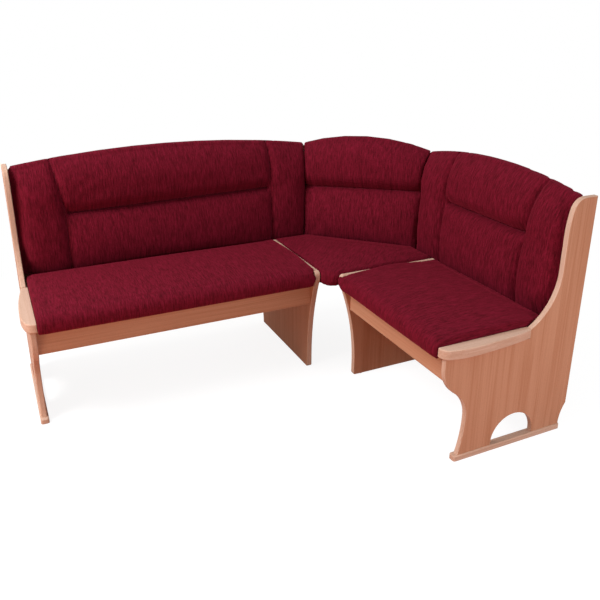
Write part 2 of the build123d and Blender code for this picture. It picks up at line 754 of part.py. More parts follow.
    for name, piece in (
        ("end_panel", end),
        ("foot_rail", rail),
        ("arm_block", arm),
        ("corner_panel", corner),
        ("front_apron", front_apron),
        ("rear_rail", rear_rail),
        ("seat_board", seat_board),
        ("seat_cushion", seat),
        ("back_board", board),
        ("back_lining", lining),
        ("back_cushion", cushion),
    ):
        add(f"{prefix}_{name}", place, [piece])
    add(f"{prefix}_seat_cleats", place, [outer_cleat, inner_cleat])
    add("corner_seat_cleats", place, [corner_cleat])
    for name, pieces in (
        ("rail_dowels", dowels),
        ("cam_discs", cams),
        ("cam_bolts", bolts),
        ("arm_dowels", arm_dowels),
        ("foot_rail_screws", rail_screws),
        ("floor_glides", glides),
        ("cleat_screws", cleat_screws),
        ("seat_screws", seat_screws),
        ("back_screws", back_screws),
        ("back_end_brackets", brackets),
        ("back_bracket_screws", bracket_screws),
        ("corner_straps", straps),
        ("corner_strap_screws", strap_screws),
    ):
        add(name, place, pieces)
    return lift_bores["corner"], corner_bores


def build_corner(board_bores, strap_bores):
    """The corner seat and the corner back that hang between the two benches."""
    arch = (-corner_half_width, corner_half_width)
    side = corner_bay - board_gap
    rear = back_board_front + board_gap
    cut = sqrt(2) * (corner_back_setback + back_board_front + board_gap)
    front = side - corner_seat_cut - corner_board_setback
    inner_edge = Polyline((side, rear), (side, front), (front, side), (rear, side))
    wall_edge = Polyline((rear, side), (rear, cut - rear), (cut - rear, rear), (side, rear))
    plan = make_face([*inner_edge.edges(), *wall_edge.edges()])
    seat_board = extrude(Pos(0, 0, seat_frame_top) * plan, seat_board_t, dir=(0, 0, 1)).solid()
    seat_board -= board_bores + [bore.mirror(diagonal) for bore in board_bores]
    add("corner_seat_board", place_long, [seat_board])
    add("corner_seat_cushion", place_long, [corner_seat_cushion()])

    wide = corner_half_width + back_board_front
    board_y = (back_board_rear, back_board_front)
    board = back_board(-wide, wide, *board_y, back_board_bottom, back_cap + back_cap_gap, arch)
    board -= corner_mitres(end_gap)
    lining = back_board(-wide, wide, lining_rear, back_board_rear, seat_board_top, lining_inset, arch)
    lining -= corner_mitres(lining_gap)
    cushion = back_cushion(-wide, wide, [], arch) - corner_mitres(cushion_side_gap)
    rail_x = corner_half_width - corner_rail_inset
    rail = block(-rail_x, rail_x, back_board_front, rail_front, apron_bottom, seat_frame_top)
    to_corner = corner_place.inverse()
    for bore in strap_bores:
        both = [to_corner * bore, to_corner * bore.mirror(diagonal)]
        board -= both
        lining -= both
    screws = []
    for x in (-corner_half_width / 2, corner_half_width / 2):
        seat_point = (x, back_board_rear, back_screw_height)
        screws.append(screw(seat_point, (0, 1, 0), back_screw_l))
        bore = screw_bore(seat_point, (0, 1, 0), back_screw_l)
        board -= bore
        rail -= bore
    add("corner_back_board", place_corner, [board])
    add("corner_back_lining", place_corner, [lining])
    add("corner_back_cushion", place_corner, [cushion])
    add("corner_rear_rail", place_corner, [rail])
    add("back_screws", place_corner, screws)


seat_bores, strap_bores = build_bench("long", long_reach, place_long)
build_bench("short", short_reach, place_short)
build_corner(seat_bores, strap_bores)

os.makedirs("parts", exist_ok=True)
for name, solids in nodes.items():
    export_step(solids[0] if len(solids) == 1 else Compound(children=solids), f"parts/{name}.step")
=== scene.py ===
# Corner bench: the finishes, padded covers, linings, small fittings and stage that dress the solid model.
# Lengths are metres. Bench coordinates are along the wall from the room corner, out from the wall, and up.
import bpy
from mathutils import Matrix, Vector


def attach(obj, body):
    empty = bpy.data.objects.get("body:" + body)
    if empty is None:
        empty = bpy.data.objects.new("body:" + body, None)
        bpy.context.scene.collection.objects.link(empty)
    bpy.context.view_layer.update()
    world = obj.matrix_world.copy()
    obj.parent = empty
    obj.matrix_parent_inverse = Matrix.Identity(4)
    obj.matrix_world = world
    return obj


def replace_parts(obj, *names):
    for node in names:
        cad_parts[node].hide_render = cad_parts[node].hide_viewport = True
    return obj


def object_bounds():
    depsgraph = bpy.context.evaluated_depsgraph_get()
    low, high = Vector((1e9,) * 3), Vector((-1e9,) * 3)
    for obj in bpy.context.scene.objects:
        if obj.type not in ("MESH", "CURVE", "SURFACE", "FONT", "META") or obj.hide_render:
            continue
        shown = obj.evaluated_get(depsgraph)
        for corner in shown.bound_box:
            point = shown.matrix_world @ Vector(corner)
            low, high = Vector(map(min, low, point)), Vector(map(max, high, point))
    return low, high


bl_info = {
    "name": "Corner Bench",
    "version": (1, 0, 0),
    "blender": (4, 5, 0),
    "location": "View3D > Sidebar > Corner Bench",
    "description": "Gives a corner bench its beech, cloth, padding, seams, fittings and studio stage",
    "category": "Object",
}

import math
from collections import namedtuple
from functools import partial

import bmesh
import bpy
import numpy as np
from bpy.props import FloatProperty, FloatVectorProperty, IntProperty, PointerProperty
from mathutils import Matrix, Quaternion, Vector
from mathutils.bvhtree import BVHTree

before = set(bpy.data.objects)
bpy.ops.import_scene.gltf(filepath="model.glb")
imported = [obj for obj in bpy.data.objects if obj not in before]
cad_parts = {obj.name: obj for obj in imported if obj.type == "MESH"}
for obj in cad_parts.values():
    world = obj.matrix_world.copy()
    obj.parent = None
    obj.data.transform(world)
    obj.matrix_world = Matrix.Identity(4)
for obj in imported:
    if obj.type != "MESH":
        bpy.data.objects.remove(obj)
CAD_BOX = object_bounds()

# Socket places on a colour Mix node
FACTOR, FIRST, SECOND, MIXED = 0, 6, 7, 2

WHITE = (1, 1, 1, 1)
SLANT = math.sqrt(0.5)

# Points of a solid's mesh that are closer than this are one point
MERGE = 0.00001

# Distance from which a ray looks for a surface
CAST = 0.1

# A length or a square too small to divide by
TINY = 1e-6


def linear(code):
    """An sRGB hex colour as linear red, green, blue and alpha."""
    parts = [int(code[i : i + 2], 16) / 255 for i in (1, 3, 5)]
    return (*[c / 12.92 if c <= 0.04045 else ((c + 0.055) / 1.055) ** 2.4 for c in parts], 1.0)


def bench_frame(along, out):
    """The matrix from bench coordinates to the part's frame. The room corner is the far corner of its box."""
    corner = CAD_BOX[1]
    to_x = (along[0], out[0], 0, corner.x)
    to_y = (along[1], out[1], 0, corner.y)
    return Matrix((to_x, to_y, (0, 0, 1, 0), (0, 0, 0, 1)))


BENCH_FRAMES = {
    "long": bench_frame((-1, 0), (0, -1)),
    "corner": bench_frame((-SLANT, SLANT), (-SLANT, -SLANT)),
    "short": bench_frame((0, -1), (-1, 0)),
}


def colour(name, description, code):
    """A colour property with its default as an sRGB hex value."""
    return FloatVectorProperty(
        name=name, description=description, subtype="COLOR", size=4, min=0, max=1, default=linear(code)
    )


def length(name, description, default):
    """A length property in metres."""
    return FloatProperty(
        name=name, description=description, unit="LENGTH", precision=5, min=0, default=default
    )


def share(name, description, default):
    """A property from 0 to 1."""
    return FloatProperty(name=name, description=description, subtype="FACTOR", min=0, max=1, default=default)


def amount(name, description, default, unit="NONE"):
    """A property from 0 up."""
    return FloatProperty(name=name, description=description, unit=unit, min=0, default=default)


def angle(name, description, default):
    """An angle property in radians."""
    return FloatProperty(name=name, description=description, subtype="ANGLE", default=default)


class BenchBeech(bpy.types.PropertyGroup):
    """Colours and grain of the beech panels, bands and blocks."""

    face: colour("Face", "Veneer on the faces of panels and aprons", "#c39175")
    face_dark: colour("Dark figure", "Darker figure in the veneer", "#b47f62")
    band: colour("Edge band", "Solid beech on edges, arm blocks and foot rails", "#d0ae9a")
    band_dark: colour("Band figure", "Darker figure in the solid beech", "#c19a84")
    ray: colour("Rays", "Short dark rays of beech", "#8f5a3e")
    grain_width: length("Grain width", "Width of one growth figure across the grain", 0.005)
    grain_length: length("Grain length", "Length of one growth figure along the grain", 0.4)
    ray_width: length("Ray width", "Width of a beech ray", 0.0009)
    ray_length: length("Ray length", "Length of a beech ray", 0.005)
    gloss: share("Roughness", "Roughness of the satin lacquer", 0.42)


class BenchCloth(bpy.types.PropertyGroup):
    """Colours and weave of the upholstery cloth."""

    ground: colour("Ground", "Main shade of the chenille", "#640f20")
    light: colour("Light slubs", "Lighter slub yarns", "#821830")
    dark: colour("Dark slubs", "Darker slub yarns", "#3c050d")
    sheen: colour("Sheen", "Tint of the pile's sheen", "#c8384f")
    slub_width: length("Slub width", "Width of one slub yarn, drawn coarse so that it shows", 0.0032)
    slub_length: length("Slub length", "Length of one slub", 0.045)
    thread_pitch: length("Thread pitch", "Distance between picks, drawn coarse so that it shows", 0.0022)


class BenchPadding(bpy.types.PropertyGroup):
    """How the cushions are padded and sewn."""

    seat_voxel: length("Seat mesh", "Spacing of a simulated seat cover's mesh", 0.008)
    back_voxel: length("Back mesh", "Spacing of a simulated back cover's mesh", 0.009)
    pressure: amount("Pressure", "Pressure of the filling", 4.0)
    steps: IntProperty(name="Steps", description="Frames of the covers' simulation", min=2, default=20)
    seed: IntProperty(name="Seed", description="Choice of the small puckers along the seams", default=7)
    start_inset: length("Start inset", "How far the covers start inside their full form", 0.003)
    seat_swell: length("Seat swell", "Most that a seat cover may swell", 0.007)
    back_swell: length("Back swell", "Most that a back cover may swell", 0.009)
    seam_height: length("Cross seam height", "Height of the cross seam over the floor", 0.676)
    side_field: length("Side field", "Width of a back's plain field at its end panel", 0.168)
    seam_shift: length("Seam shift", "How far the outer upright seams are drawn in", 0.011)
    inner_seam: length("Inner seam", "Distance of a back's inner upright seam from the room corner", 0.626)
    seam_lean: length("Seam lean", "How far the outer upright seams lean out over the cross seam", 0.03)
    seam_depth: length("Seam depth", "Depth of an upright seam's valley", 0.009)
    seam_width: length("Seam width", "Half width of an upright seam's valley", 0.013)
    crease_depth: length("Crease depth", "Depth of the crease in an upright seam", 0.006)
    crease_width: length("Crease width", "Half width of the crease in an upright seam", 0.004)
    fold_depth: length("Fold depth", "Depth of the cross seam's fold", 0.034)
    fold_over: length("Fold over", "Height of the upper pad's underside at the fold", 0.028)
    fold_under: length("Fold under", "Height of the lower pad's rounded top at the fold", 0.009)
    fold_sag: length("Fold sag", "How far the upper pad hangs over the cross seam", 0.007)
    end_roll: length("End roll", "How far a back's end turns in beside its end panel", 0.024)
    end_width: length("End width", "Width over which a back's end turns in", 0.03)
    end_lift: length("End lift", "How far the lower corner of a back's end is rounded up", 0.02)
    pucker: length("Pucker", "Height of the puckers beside the seams", 0.0008)
    rim_width: length("Rim width", "Width of a seat's rim beside a corner panel", 0.04)
    belly_half: length("Belly half width", "Half of the free width of the corner seat's front edge", 0.075)
    belly_sag: length("Belly sag", "How far the corner seat's front edge hangs", 0.010)


class BenchFittings(bpy.types.PropertyGroup):
    """Sizes of the screws, stitches and staples."""

    head_width: length("Head width", "Width of a screw's pan head", 0.0075)
    head_height: length("Head height", "Height of a screw's pan head", 0.0022)
    shank_width: length("Shank width", "Width of a screw's shank", 0.004)
    recess_width: length("Recess width", "Width of the cross recess in a screw's head", 0.0042)
    stitch_pitch: length("Stitch pitch", "Distance between stitches", 0.005)
    stitch_length: length("Stitch length", "Length of a stitch", 0.0042)
    thread_width: length("Thread width", "Width of the sewing thread", 0.0007)
    staple_pitch: length("Staple pitch", "Distance between staples", 0.045)
    staple_crown: length("Staple crown", "Width of a staple", 0.0104)
    staple_leg: length("Staple leg", "Half of the length of a staple's legs", 0.003)
    staple_wire: length("Staple wire", "Width of the staple's wire", 0.001)
    staple_inset: length("Staple inset", "Distance of the staples from the lining's edge", 0.008)
    weave_step: length("Lining step", "Spacing of the lining's mesh", 0.012)


class BenchStage(bpy.types.PropertyGroup):
    """Floor, light and camera."""

    floor: colour("Floor", "Colour that the studio floor reflects onto the bench", "#ad5a38")
    ambient: amount("Ambient", "Strength of the soft light all round", 0.52)
    key_power: amount("Key", "Power of the large soft lamp", 138, "POWER")
    fill_power: amount("Fill", "Power of the front lamp", 14.5, "POWER")
    side_power: amount("Side", "Power of the low lamp", 16, "POWER")
    side_tint: colour("Side tint", "Warm tint of the low lamp, as light off the wood gives it", "#ffdcc0")
    camera_place: FloatVectorProperty(
        name="Camera",
        description="Place of the camera",
        subtype="TRANSLATION",
        default=(-0.8758, -2.0873, 1.3912),
    )
    camera_turn: angle("Turn", "Heading of the camera", 0.44419)
    camera_tilt: angle("Tilt", "Downward tilt", 0.35293)
    camera_roll: angle("Roll", "Roll about the view axis", 0.00433)
    lens: amount("Lens", "Focal length in mm on a 36 mm sensor", 40.506)
    shift: FloatVectorProperty(
        name="Shift", description="Shift of the frame", size=2, default=(-0.0045, -0.0673)
    )


def add_node(tree, kind, inputs=None, **settings):
    """Adds a node, sets its properties, and sets or links its inputs. A node as input is its first output."""
    made = tree.nodes.new(kind)
    for name, value in settings.items():
        setattr(made, name, value)
    for key, value in (inputs or {}).items():
        for source in value if isinstance(value, list) else [value]:
            if isinstance(source, bpy.types.Node):
                source = source.outputs[0]
            if isinstance(source, bpy.types.NodeSocket):
                tree.links.new(source, made.inputs[key])
            else:
                made.inputs[key].default_value = source
    return made


def start_material(name):
    """An empty node material, and add_node for its tree."""
    material = bpy.data.materials.new(name)
    material.use_nodes = True
    material.node_tree.nodes.clear()
    return material, partial(add_node, material.node_tree)


def stretched(axis, fine, coarse):
    """Scales for a pattern that is coarse along one axis and fine across it."""
    return tuple(1 / (coarse if i == axis else fine) for i in range(3))


def beech(name, look, grain_axis, face_axis=None):
    """Lacquered beech: pinkish tan with straight soft figure and short dark rays.

    With a face axis, surfaces that look along it are veneer, and the edges carry a lighter solid band.
    """
    material, node = start_material(name)
    here = node("ShaderNodeTexCoord").outputs
    # Width and length of the growth figure, of broad bands of tone, and of the rays
    patterns = (
        (look.grain_width, look.grain_length, {"Detail": 4.0, "Roughness": 0.6, "Distortion": 0.6}),
        (7 * look.grain_width, 2 * look.grain_length, {"Detail": 2.0}),
        (look.ray_width, look.ray_length, {"Detail": 1.0}),
    )
    noises = []
    for width, run, grain in patterns:
        scale = stretched(grain_axis, width, run)
        place = node("ShaderNodeMapping", {"Vector": here["Object"], "Scale": scale})
        noises.append(node("ShaderNodeTexNoise", {"Vector": place, "Scale": 1.0, **grain}))
    figure, broad, rays = noises
    mixed = node("ShaderNodeMath", {0: figure, 1: broad}, operation="ADD")
    span = {"Value": mixed, "From Min": 0.75, "From Max": 1.3}
    shade = node("ShaderNodeMapRange", span, interpolation_type="SMOOTHSTEP")
    layers = {FACTOR: shade, FIRST: look.band, SECOND: look.band_dark}
    body = node("ShaderNodeMix", layers, data_type="RGBA").outputs[MIXED]
    if face_axis is not None:
        layers = {FACTOR: shade, FIRST: look.face, SECOND: look.face_dark}
        veneer = node("ShaderNodeMix", layers, data_type="RGBA").outputs[MIXED]
        facing = node("ShaderNodeSeparateXYZ", {0: here["Normal"]}).outputs[face_axis]
        square = node("ShaderNodeMath", {0: facing}, operation="ABSOLUTE")
        on_face = node("ShaderNodeMapRange", {"Value": square, "From Min": 0.9, "From Max": 0.97})
        layers = {FACTOR: on_face, FIRST: body, SECOND: veneer}
        body = node("ShaderNodeMix", layers, data_type="RGBA").outputs[MIXED]
    span = {"Value": rays, "From Min": 0.62, "From Max": 0.74, "To Max": 0.45}
    dark_rays = node("ShaderNodeMapRange", span)
    rayed = node("ShaderNodeMix", {FACTOR: dark_rays, FIRST: body, SECOND: look.ray}, data_type="RGBA")
    span = {"Value": broad, "To Min": look.gloss - 0.08, "To Max": look.gloss + 0.1}
    lacquer = {
        "Base Color": rayed.outputs[MIXED],
        "Roughness": node("ShaderNodeMapRange", span),
        "Normal": node("ShaderNodeBump", {"Strength": 0.12, "Distance": 0.0002, "Height": mixed}),
        "IOR": 1.5,
        "Specular IOR Level": 0.02,
    }
    node("ShaderNodeOutputMaterial", {"Surface": node("ShaderNodeBsdfPrincipled", lacquer)})
    return material


def chenille(look):
    """Woven chenille: a wine-red ground with soft slub yarns one way, a fine cross weave and a dull sheen."""
    material, node = start_material("woven chenille, wine red")
    weave = node("ShaderNodeAttribute", attribute_name="weave").outputs["Vector"]
    yarns = []
    # Yarns lie side by side, and each has thick and thin places of its own
    for width, run in ((look.slub_width, look.slub_length), (0.5 * look.slub_width, 0.4 * look.slub_length)):
        place = node("ShaderNodeMapping", {"Vector": weave, "Scale": (1 / width, 1 / run, 1.0)})
        ways = node("ShaderNodeSeparateXYZ", {0: place}).outputs
        number = node("ShaderNodeMath", {0: ways["X"]}, operation="FLOOR")
        apart = node("ShaderNodeMath", {0: number, 1: 3.7}, operation="MULTIPLY")
        own = node("ShaderNodeCombineXYZ", {"X": apart, "Y": ways["Y"]})
        uneven = {"Vector": own, "Scale": 1.0, "Detail": 2.0, "Roughness": 0.6}
        yarns.append(node("ShaderNodeTexNoise", uneven, noise_dimensions="2D"))
    pitch = look.thread_pitch
    picks = node("ShaderNodeMapping", {"Vector": weave, "Scale": (1 / pitch, 0.5 / pitch, 1.0)})
    cells = {"Vector": picks, "Scale": 1.0, "Randomness": 0.55}
    threads = node("ShaderNodeTexVoronoi", cells, voronoi_dimensions="2D")
    summed = node("ShaderNodeMath", {0: yarns[1], 1: 0.4, 2: yarns[0]}, operation="MULTIPLY_ADD")
    lit = node("ShaderNodeMapRange", {"Value": summed, "From Min": 0.68, "From Max": 1.1})
    shaded = node("ShaderNodeMapRange", {"Value": summed, "From Min": 0.68, "From Max": 0.3})
    between = node("ShaderNodeMapRange", {"Value": threads, "From Min": 0.3, "From Max": 0.9, "To Max": 0.55})
    tint = look.ground
    for part, shade in ((lit, look.light), (shaded, look.dark), (between, look.dark)):
        layers = {FACTOR: part, FIRST: tint, SECOND: shade}
        tint = node("ShaderNodeMix", layers, data_type="RGBA").outputs[MIXED]
    height = node("ShaderNodeMath", {0: summed, 1: threads}, operation="SUBTRACT")
    pile = {
        "Base Color": tint,
        "Normal": node("ShaderNodeBump", {"Strength": 0.55, "Distance": 0.0008, "Height": height}),
        "Roughness": 0.88,
        "IOR": 1.46,
        "Specular IOR Level": 0.08,
        "Sheen Weight": 0.32,
        "Sheen Roughness": 0.4,
        "Sheen Tint": look.sheen,
    }
    node("ShaderNodeOutputMaterial", {"Surface": node("ShaderNodeBsdfPrincipled", pile)})
    return material


def speckled(name, first, second, grit, rough, fibre=None, metallic=0.0, depth=0.0001):
    """A surface of fine grains in two shades, such as chips, fibres, spangles or a moulded grain.

    A fibre is the axis that the grains are drawn out along, and their length.
    """
    material, node = start_material(name)
    place = node("ShaderNodeTexCoord").outputs["Object"]
    scales = stretched(fibre[0], grit, fibre[1]) if fibre else (1 / grit, 1 / grit, 1 / grit)
    sized = node("ShaderNodeMapping", {"Vector": place, "Scale": scales})
    cells = node("ShaderNodeTexVoronoi", {"Vector": sized, "Scale": 1.0})
    cloud = node("ShaderNodeTexNoise", {"Vector": sized, "Scale": 0.35, "Detail": 4.0})
    tone = node("ShaderNodeSeparateColor", {"Color": cells.outputs["Color"]})
    blend = node("ShaderNodeMath", {0: tone, 1: cloud}, operation="MULTIPLY")
    spread = node("ShaderNodeMapRange", {"Value": blend, "From Max": 0.6})
    layers = {FACTOR: spread, FIRST: linear(first), SECOND: linear(second)}
    span = {"Value": cloud, "To Min": rough - 0.08, "To Max": rough + 0.08}
    surface = {
        "Base Color": node("ShaderNodeMix", layers, data_type="RGBA").outputs[MIXED],
        "Roughness": node("ShaderNodeMapRange", span),
        "Metallic": metallic,
        "Normal": node("ShaderNodeBump", {"Strength": 0.3, "Distance": depth, "Height": blend}),
    }
    node("ShaderNodeOutputMaterial", {"Surface": node("ShaderNodeBsdfPrincipled", surface)})
    return material


def paint(node_names, material):
    """Gives solids of the frame a material."""
    for name in node_names:
        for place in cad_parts[name].material_slots:
            place.material = material


def new_piece(name, mesh):
    """A new object at the origin."""
    piece = bpy.data.objects.new(name, mesh)
    bpy.context.scene.collection.objects.link(piece)
    return piece


def settle(piece):
    """Turns what an object's modifiers give into its plain mesh."""
    graph = bpy.context.evaluated_depsgraph_get()
    made = bpy.data.meshes.new_from_object(
        piece.evaluated_get(graph), preserve_all_data_layers=True, depsgraph=graph
    )
    piece.modifiers.clear()
    old = piece.data
    piece.data = made
    bpy.data.meshes.remove(old)


def reshape(piece, kind, **settings):
    """Runs one modifier on an object and keeps the result."""
    modifier = piece.modifiers.new(kind, kind)
    for name, value in settings.items():
        setattr(modifier, name, value)
    settle(piece)


def relax(piece, rounds):
    """Smooths a mesh a little without shrinking it much."""
    reshape(piece, "SMOOTH", factor=0.5, iterations=rounds)


def start_geometry(name, sizes):
    """A geometry tree with places and named sizes in and pieces out, its add_node, and its inputs."""
    tree = bpy.data.node_groups.new(name, "GeometryNodeTree")
    tree.interface.new_socket("Places", in_out="INPUT", socket_type="NodeSocketGeometry")
    tree.interface.new_socket("Pieces", in_out="OUTPUT", socket_type="NodeSocketGeometry")
    for label, size in sizes.items():
        tree.interface.new_socket(label, in_out="INPUT", socket_type="NodeSocketFloat").default_value = size
    node = partial(add_node, tree)
    return tree, node, node("NodeGroupInput").outputs


def finish_geometry(node, places, shapes, material):
    """Sets shapes on every place, turned as the place says and scaled, and ends the tree."""
    turn = node("GeometryNodeInputNamedAttribute", {"Name": "turn"}, data_type="QUATERNION")
    spread = []
    for shape, scale in shapes:
        placed = {"Points": places, "Instance": shape, "Rotation": turn, "Scale": scale}
        spread.append(node("GeometryNodeInstanceOnPoints", placed))
    joined = node("GeometryNodeJoinGeometry", {"Geometry": spread})
    real = node("GeometryNodeRealizeInstances", {"Geometry": joined})
    painted = node("GeometryNodeSetMaterial", {"Geometry": real, "Material": material})
    node("NodeGroupOutput", {"Pieces": painted})


def repeat(name, tree, places, sizes):
    """Runs a geometry tree over places and keeps the result as a plain mesh.

    A place is a point, the way that its piece lies, the way that it faces, and how far it reaches in.
    """
    mesh = bpy.data.meshes.new(name)
    mesh.from_pydata([place[0] for place in places], [], [])
    mesh.attributes.new("turn", "QUATERNION", "POINT")
    mesh.attributes.new("reach", "FLOAT", "POINT")
    turns, reaches = mesh.attributes["turn"].data, mesh.attributes["reach"].data
    for turn, reach, (_, lie, face, depth) in zip(turns, reaches, places):
        face = face.normalized()
        lie = (lie - face * lie.dot(face)).normalized()
        turn.value = Matrix((lie, face.cross(lie), face)).transposed().to_quaternion()
        reach.value = depth
    piece = new_piece(name, mesh)
    spread = piece.modifiers.new("Repeat", "NODES")
    spread.node_group = tree
    for item in tree.interface.items_tree:
        if item.in_out == "INPUT" and item.name in sizes:
            spread[item.identifier] = sizes[item.name]
    settle(piece)
    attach(piece, "root")
    return piece


def parts_of(node, size, parts):
    """Math nodes that each give a part of a named size."""
    return [node("ShaderNodeMath", {0: size[name], 1: part}, operation="MULTIPLY") for name, part in parts]


def screw_tree(sizes, steel):
    """A pan-head screw: a low dome with a cross recess, on a shank as long as its place says."""
    tree, node, size = start_geometry("Pan-head screw", sizes)
    parts = (("Head width", 0.5), ("Shank width", 0.5), ("Recess width", 0.24))
    head_radius, core_radius, narrow = parts_of(node, size, parts)
    top = node("ShaderNodeCombineXYZ", {"Z": size["Head height"]})
    stem = node("GeometryNodeCurvePrimitiveLine", {"End": top})
    stepped = node("GeometryNodeResampleCurve", {"Curve": stem, "Count": 4})
    # The dome bends in towards its top, where it is 0.35 narrower
    bend = node("ShaderNodeMath", {0: node("GeometryNodeSplineParameter"), 1: 3.0}, operation="POWER")
    taper = node("ShaderNodeMath", {0: bend, 1: -0.35, 2: 1.0}, operation="MULTIPLY_ADD")
    rim = node("GeometryNodeCurvePrimitiveCircle", {"Resolution": 12, "Radius": head_radius})
    swept = {"Curve": stepped, "Profile Curve": rim, "Scale": taper, "Fill Caps": True}
    dome = node("GeometryNodeCurveToMesh", swept)
    bars = []
    for wide, slim in (("X", "Y"), ("Y", "X")):
        extent = {wide: size["Recess width"], slim: narrow, "Z": size["Head height"]}
        bar = node("GeometryNodeMeshCube", {"Size": node("ShaderNodeCombineXYZ", extent)})
        bars.append(node("GeometryNodeTransform", {"Geometry": bar, "Translation": top}))
    cut = {"Mesh 1": dome, "Mesh 2": bars}
    head = node("GeometryNodeMeshBoolean", cut, operation="DIFFERENCE", solver="EXACT")
    core = node("GeometryNodeCurvePrimitiveLine", {"End": (0, 0, -1)})
    core_rim = node("GeometryNodeCurvePrimitiveCircle", {"Resolution": 8, "Radius": core_radius})
    shank = node("GeometryNodeCurveToMesh", {"Curve": core, "Profile Curve": core_rim, "Fill Caps": True})
    reach = node("GeometryNodeInputNamedAttribute", {"Name": "reach"}, data_type="FLOAT")
    longer = node("ShaderNodeCombineXYZ", {"X": 1.0, "Y": 1.0, "Z": reach})
    finish_geometry(node, size["Places"], [(head, (1, 1, 1)), (shank, longer)], steel)
    return tree


def stitch_tree(sizes, thread):
    """A stitch: a short thread that dips into the cloth at both ends."""
    tree, node, size = start_geometry("Stitch", sizes)
    parts = (("Length", 0.5), ("Length", -0.5), ("Thread", -0.8), ("Thread", 1.4), ("Thread", 0.5))
    half, back, dip, rise, radius = parts_of(node, size, parts)
    ends = {"Start": {"X": back, "Z": dip}, "Middle": {"Z": rise}, "End": {"X": half, "Z": dip}}
    bow = {name: node("ShaderNodeCombineXYZ", place) for name, place in ends.items()}
    path = node("GeometryNodeCurveQuadraticBezier", {"Resolution": 4, **bow})
    ring = node("GeometryNodeCurvePrimitiveCircle", {"Resolution": 5, "Radius": radius})
    shape = node("GeometryNodeCurveToMesh", {"Curve": path, "Profile Curve": ring, "Fill Caps": True})
    finish_geometry(node, size["Places"], [(shape, (1, 1, 1))], thread)
    return tree


def staple_tree(sizes, steel):
    """A staple: a wire crown with rounded corners, on legs that are sunk in the board."""
    tree, node, size = start_geometry("Staple", sizes)
    height, radius = parts_of(node, size, (("Leg", 2.0), ("Wire", 0.5)))
    ring = node("GeometryNodeCurvePrimitiveQuadrilateral", {"Width": size["Crown"], "Height": height})
    bent = node("GeometryNodeFilletCurve", {"Curve": ring, "Count": 2, "Radius": size["Wire"]}, mode="POLY")
    sunk = node("ShaderNodeMath", {0: radius, 1: size["Leg"]}, operation="SUBTRACT")
    shift = node("ShaderNodeCombineXYZ", {"Z": sunk})
    stand = {"Geometry": bent, "Translation": shift, "Rotation": (math.pi / 2, 0, 0)}
    stood = node("GeometryNodeTransform", stand)
    wire = node("GeometryNodeCurvePrimitiveCircle", {"Resolution": 5, "Radius": radius})
    shape = node("GeometryNodeCurveToMesh", {"Curve": stood, "Profile Curve": wire})
    finish_geometry(node, size["Places"], [(shape, (1, 1, 1))], steel)
    return tree


def array_of(rows, name):
    """A vector of each row of mesh data, as an array."""
    found = np.empty(3 * len(rows), np.float32)
    rows.foreach_get(name, found)
    return found.reshape(-1, 3).astype(float)


def points_of(mesh):
    """A mesh's points as an array."""
    return array_of(mesh.vertices, "co")


def normals_of(mesh):
    """A mesh's point normals as an array."""
    return array_of(mesh.vertex_normals, "vector")


def set_points(mesh, points):
    """Moves a mesh's points."""
    mesh.vertices.foreach_set("co", points.astype(np.float32).ravel())
    mesh.update()


def surface_of(points, mesh):
    """A tree that finds the nearest place on a mesh's faces, whose points may be given in another frame."""
    return BVHTree.FromPolygons(points, [tuple(polygon.vertices) for polygon in mesh.polygons])


def ease(value):
    """A smooth step from 0 to 1."""
    t = np.clip(value, 0, 1)
    return t * t * (3 - 2 * t)


def bell(off, width):
    """One on a line, falling away smoothly to either side."""
    return np.exp(-((off / width) ** 2))


def turned(part):
    """A smooth step from 0 to 1 as the part of a normal along some way grows from 0.3 to 0.7."""
    return ease((part - 0.3) / 0.4)


def bench_box(node, side):
    """Lowest and highest corner of a solid in a bench's coordinates."""
    local = np.array([BENCH_FRAMES[side].inverted() @ v.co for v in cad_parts[node].data.vertices])
    return local.min(0), local.max(0)


def cover_mesh(node, name, side, voxel):
    """An even, slightly smoothed mesh over a cushion's solid, in bench coordinates."""
    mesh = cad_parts[node].data.copy()
    mesh.transform(BENCH_FRAMES[side].inverted())
    mesh.materials.clear()
    shape = bmesh.new()
    shape.from_mesh(mesh)
    bmesh.ops.remove_doubles(shape, verts=shape.verts, dist=MERGE)
    bmesh.ops.recalc_face_normals(shape, faces=shape.faces)
    shape.to_mesh(mesh)
    shape.free()
    piece = new_piece(name, mesh)
    reshape(piece, "REMESH", mode="VOXEL", voxel_size=voxel)
    relax(piece, 3)
    return piece


CLOTH_QUALITY = 5
CLOTH_MASS = 0.15


